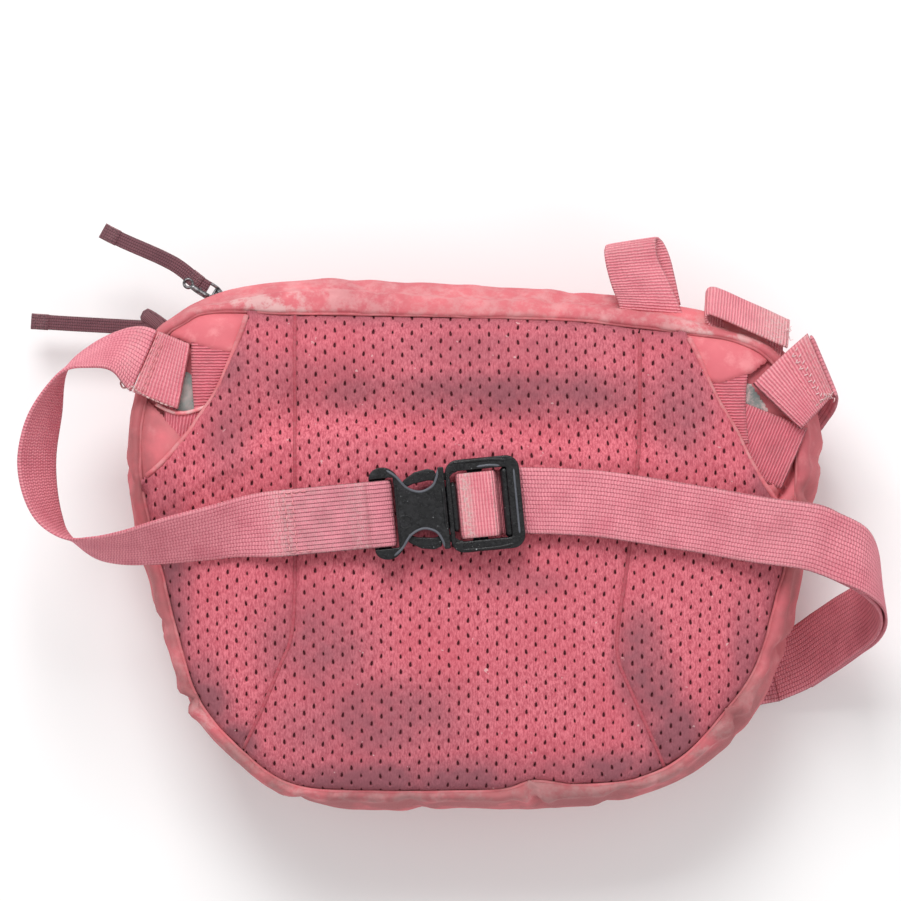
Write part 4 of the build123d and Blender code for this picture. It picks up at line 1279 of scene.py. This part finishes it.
lines = [[(-128.6, 60.4, 73.0), (-124, 57.0, 73.0), (-117.5, 53.9, 72.8), (-111.8, 52.0, 72.4)],
         [(-128.9, 61.6, 72.4), (-130.2, 63.0, 71.4), (-129.4, 64.6, 71.0)],
         [(130.5, 52.5, 72.6), (134.2, 55.4, 72.8), (137.2, 57.8, 72.4)]]
loop = curve_through([(-129.3, 61.4, 71.6), (-131.0, 62.6, 71.9), (-132.2, 61.2, 71.4), (-131.3, 59.4, 71.2),
                      (-129.6, 59.8, 71.5)], 0.5)
add_piece("frayed_threads", joined([stitches(lines, 1.5, 0.35, 0.34, 0.22), tube(loop, 0.36, 7)]), frayed_mat, "pack")
rng = np.random.default_rng(5)
parts = []
# fluff where the webbing is worn through: (middle, spread in mm, count)
for centre, spread, count in (((135.6, 56.6, 72.6), (2.6, 1.8, 0.9), 16), ((-128.4, 59.6, 72.8), (1.4, 1.6, 0.6), 9),
                              ((121.4, 79.6, 61.0), (0.8, 4.4, 5.0), 12)):
    for _ in range(count):
        at = np.array(centre) + rng.normal(0, 0.45, 3) * spread
        way = rng.normal(0, 1, 3) * (1, 1, 0.4)
        way *= rng.uniform(1.2, 2.6) / np.linalg.norm(way)
        bend = rng.normal(0, 0.5, 3)
        parts.append(tube([at, at + way * 0.5 + bend, at + way], (0.2, 0.17, 0.09), 5))
add_piece("worn_fuzz", joined(parts), pale_thread_mat, "pack")

# ------------------------------------------------------------------ buckle
def rounded(node, voxel=0.3, turns=5):
    """Moulded edges: the CAD solid remeshed and relaxed by modifiers, its own mesh untouched."""
    piece = nodes[node]
    remesh = piece.modifiers.new("moulded", "REMESH")
    remesh.mode = "VOXEL"
    remesh.voxel_size = voxel * MM
    remesh.use_smooth_shade = True
    relax = piece.modifiers.new("relaxed", "SMOOTH")
    relax.factor, relax.iterations = 0.5, turns
    piece.data.materials.clear()
    piece.data.materials.append(plastic_mat)


for node in ("buckle_female", "buckle_male", "prong_upper", "prong_lower"):
    rounded(node)


def buckle_tube(name, runs, body, material=plastic_mat):
    """Raised rims on the buckle: (line in the buckle's own directions, radius) for each."""
    parts = []
    for line, radius in runs:
        fine = curve_through([belt_point(u, v, h) for u, v, h in line], 0.6)
        taper = np.minimum(1.0, 0.35 + np.minimum(np.arange(len(fine)), np.arange(len(fine))[::-1]) * 0.3)
        parts.append(tube(fine, radius * taper, 10))
    add_piece(name, joined(parts), material, body)


# the notch rims take the lighter rim plastic, a painted highlight
runs = []
for side in (-1, 1):
    notch = [(-21.5, 16.2), (-18.0, 13.4), (-14.4, 8.9), (-9.6, 6.9), (-5.0, 8.4), (-2.9, 11.6), (-2.2, 14.6)]
    runs.append(([(u, side * v, 4.0) for u, v in notch], 0.5))
buckle_tube("female_notch_rims", runs, "pack", rim_highlight_mat)
runs = [([(-16.2 + 2.4 * math.cos(a), -3.8 + 2.4 * math.sin(a), 4.15) for a in np.linspace(0, 2 * math.pi, 15)], 0.3),
        ([(-1.0, v, 4.0) for v in (-7.6, 0, 7.6)], 0.6),
        ([(-18.6, v, 4.0) for v in (-11.5, 0, 11.5)], 0.5)]
buckle_tube("female_ridges", runs, "pack")
runs = [([(22.6, v, 0.9) for v in (-13.4, 0, 13.4)], 1.7), ([(2.9, v, 1.8) for v in (-9.4, 0, 9.4)], 1.3)]
for side in (-1, 1):
    rail = [(3.2, 16.3, 2.7), (10, 16.6, 3.1), (18, 16.5, 3.1), (24.5, 15.6, 2.9)]
    runs.append(([(u, side * v, h) for u, v, h in rail], 0.7))
    runs += [([(u, side * 14.0, 3.1), (u, side * 16.2, 3.3)], 0.36) for u in (5.0, 6.4, 7.8)]
buckle_tube("male_ridges", runs, "buckle_male")
# these edges take the lighter rim plastic, a painted highlight
runs = [([(26.2, v, 2.95) for v in (-12.6, 0, 12.6)], 0.45),
        ([(12, 14.2, 2.9), (17, 14.4, 3.0), (21.5, 13.8, 2.9)], 0.5)]
buckle_tube("male_edge_painted_highlights", runs, "buckle_male", rim_highlight_mat)

# ------------------------------------------------------------------ inside layers
def inner_sheet(name, node):
    """A slightly wavy cloth in the place of a flat CAD layer."""
    low, high = (np.array(v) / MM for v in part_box(node))
    line = back_line * ((high[:2] - low[:2]) / (back_line.max(0) - back_line.min(0)))
    line = line - (line.max(0) + line.min(0)) / 2 + (high[:2] + low[:2]) / 2
    rings = []
    for share in (1.0, 0.985, 0.93, 0.82, 0.68, 0.52, 0.35, 0.18):
        ring = np.column_stack([line * share, np.full(len(line), (low[2] + high[2]) / 2)])
        ring[:, 2] += 0.8 * rough(ring, 30, 81, 2) * (1.02 - share)
        rings.append(ring)
    faces = grid_faces(len(rings), len(line), closed=True)
    faces.append(tuple((len(rings) - 1) * len(line) + i for i in range(len(line))))
    add_piece(name, (np.vstack(rings), faces), lining_mat, "pack", [node], wear=(0.0, 0.2))


inner_sheet("divider_cloth", "compartment_divider")
inner_sheet("lining_cloth", "back_lining")

# ------------------------------------------------------------------ floor, light and camera
def make_stage():
    """A pale floor, a soft white surround and two lamps; everything here is in metres."""
    size = 3.0
    mesh = bpy.data.meshes.new("floor")
    mesh.from_pydata([(-size, -size, 0), (size, -size, 0), (size, size, 0), (-size, size, 0)], [], [(0, 1, 2, 3)])
    paper = bpy.data.materials.new("pale_paper")
    paper.use_nodes = True
    shader = paper.node_tree.nodes["Principled BSDF"]
    shader.inputs["Base Color"].default_value = (0.93, 0.93, 0.93, 1)
    shader.inputs["Roughness"].default_value = 0.9
    mesh.materials.append(paper)
    add_object("floor", mesh)
    world = bpy.data.worlds.new("studio")
    world.use_nodes = True
    sky = world.node_tree.nodes["Background"]
    sky.inputs["Color"].default_value = (1, 1, 1, 1)
    sky.inputs["Strength"].default_value = 0.62
    bpy.context.scene.world = world
    for name, at, power, spread in (("key", (-0.25, 1.15, 1.35), 22, 0.8), ("fill", (0.9, -0.9, 1.5), 5, 1.2)):
        data = bpy.data.lights.new(name, "AREA")
        data.shape = "SQUARE"
        data.size = spread
        data.energy = power
        lamp = add_object(name, data)
        lamp.location = at
        aim = Vector((0, 0, 0.05)) - Vector(at)
        lamp.rotation_mode = "QUATERNION"
        lamp.rotation_quaternion = aim.to_track_quat("-Z", "Y")
    bpy.context.scene.view_settings.view_transform = "Standard"
    bpy.context.scene.view_settings.look = "None"


def make_camera():
    """Straight down from `height`, seeing `view_width` across at the back panel, in metres."""
    height, back_panel, view_width = 1.5, 0.075, 0.340
    data = bpy.data.cameras.new("camera")
    data.sensor_width = 36
    data.lens = data.sensor_width * (height - back_panel) / view_width
    camera = add_object("camera", data)
    camera.location = (-0.0074, 0.0357, height)
    bpy.context.scene.camera = camera


make_stage()
make_camera()
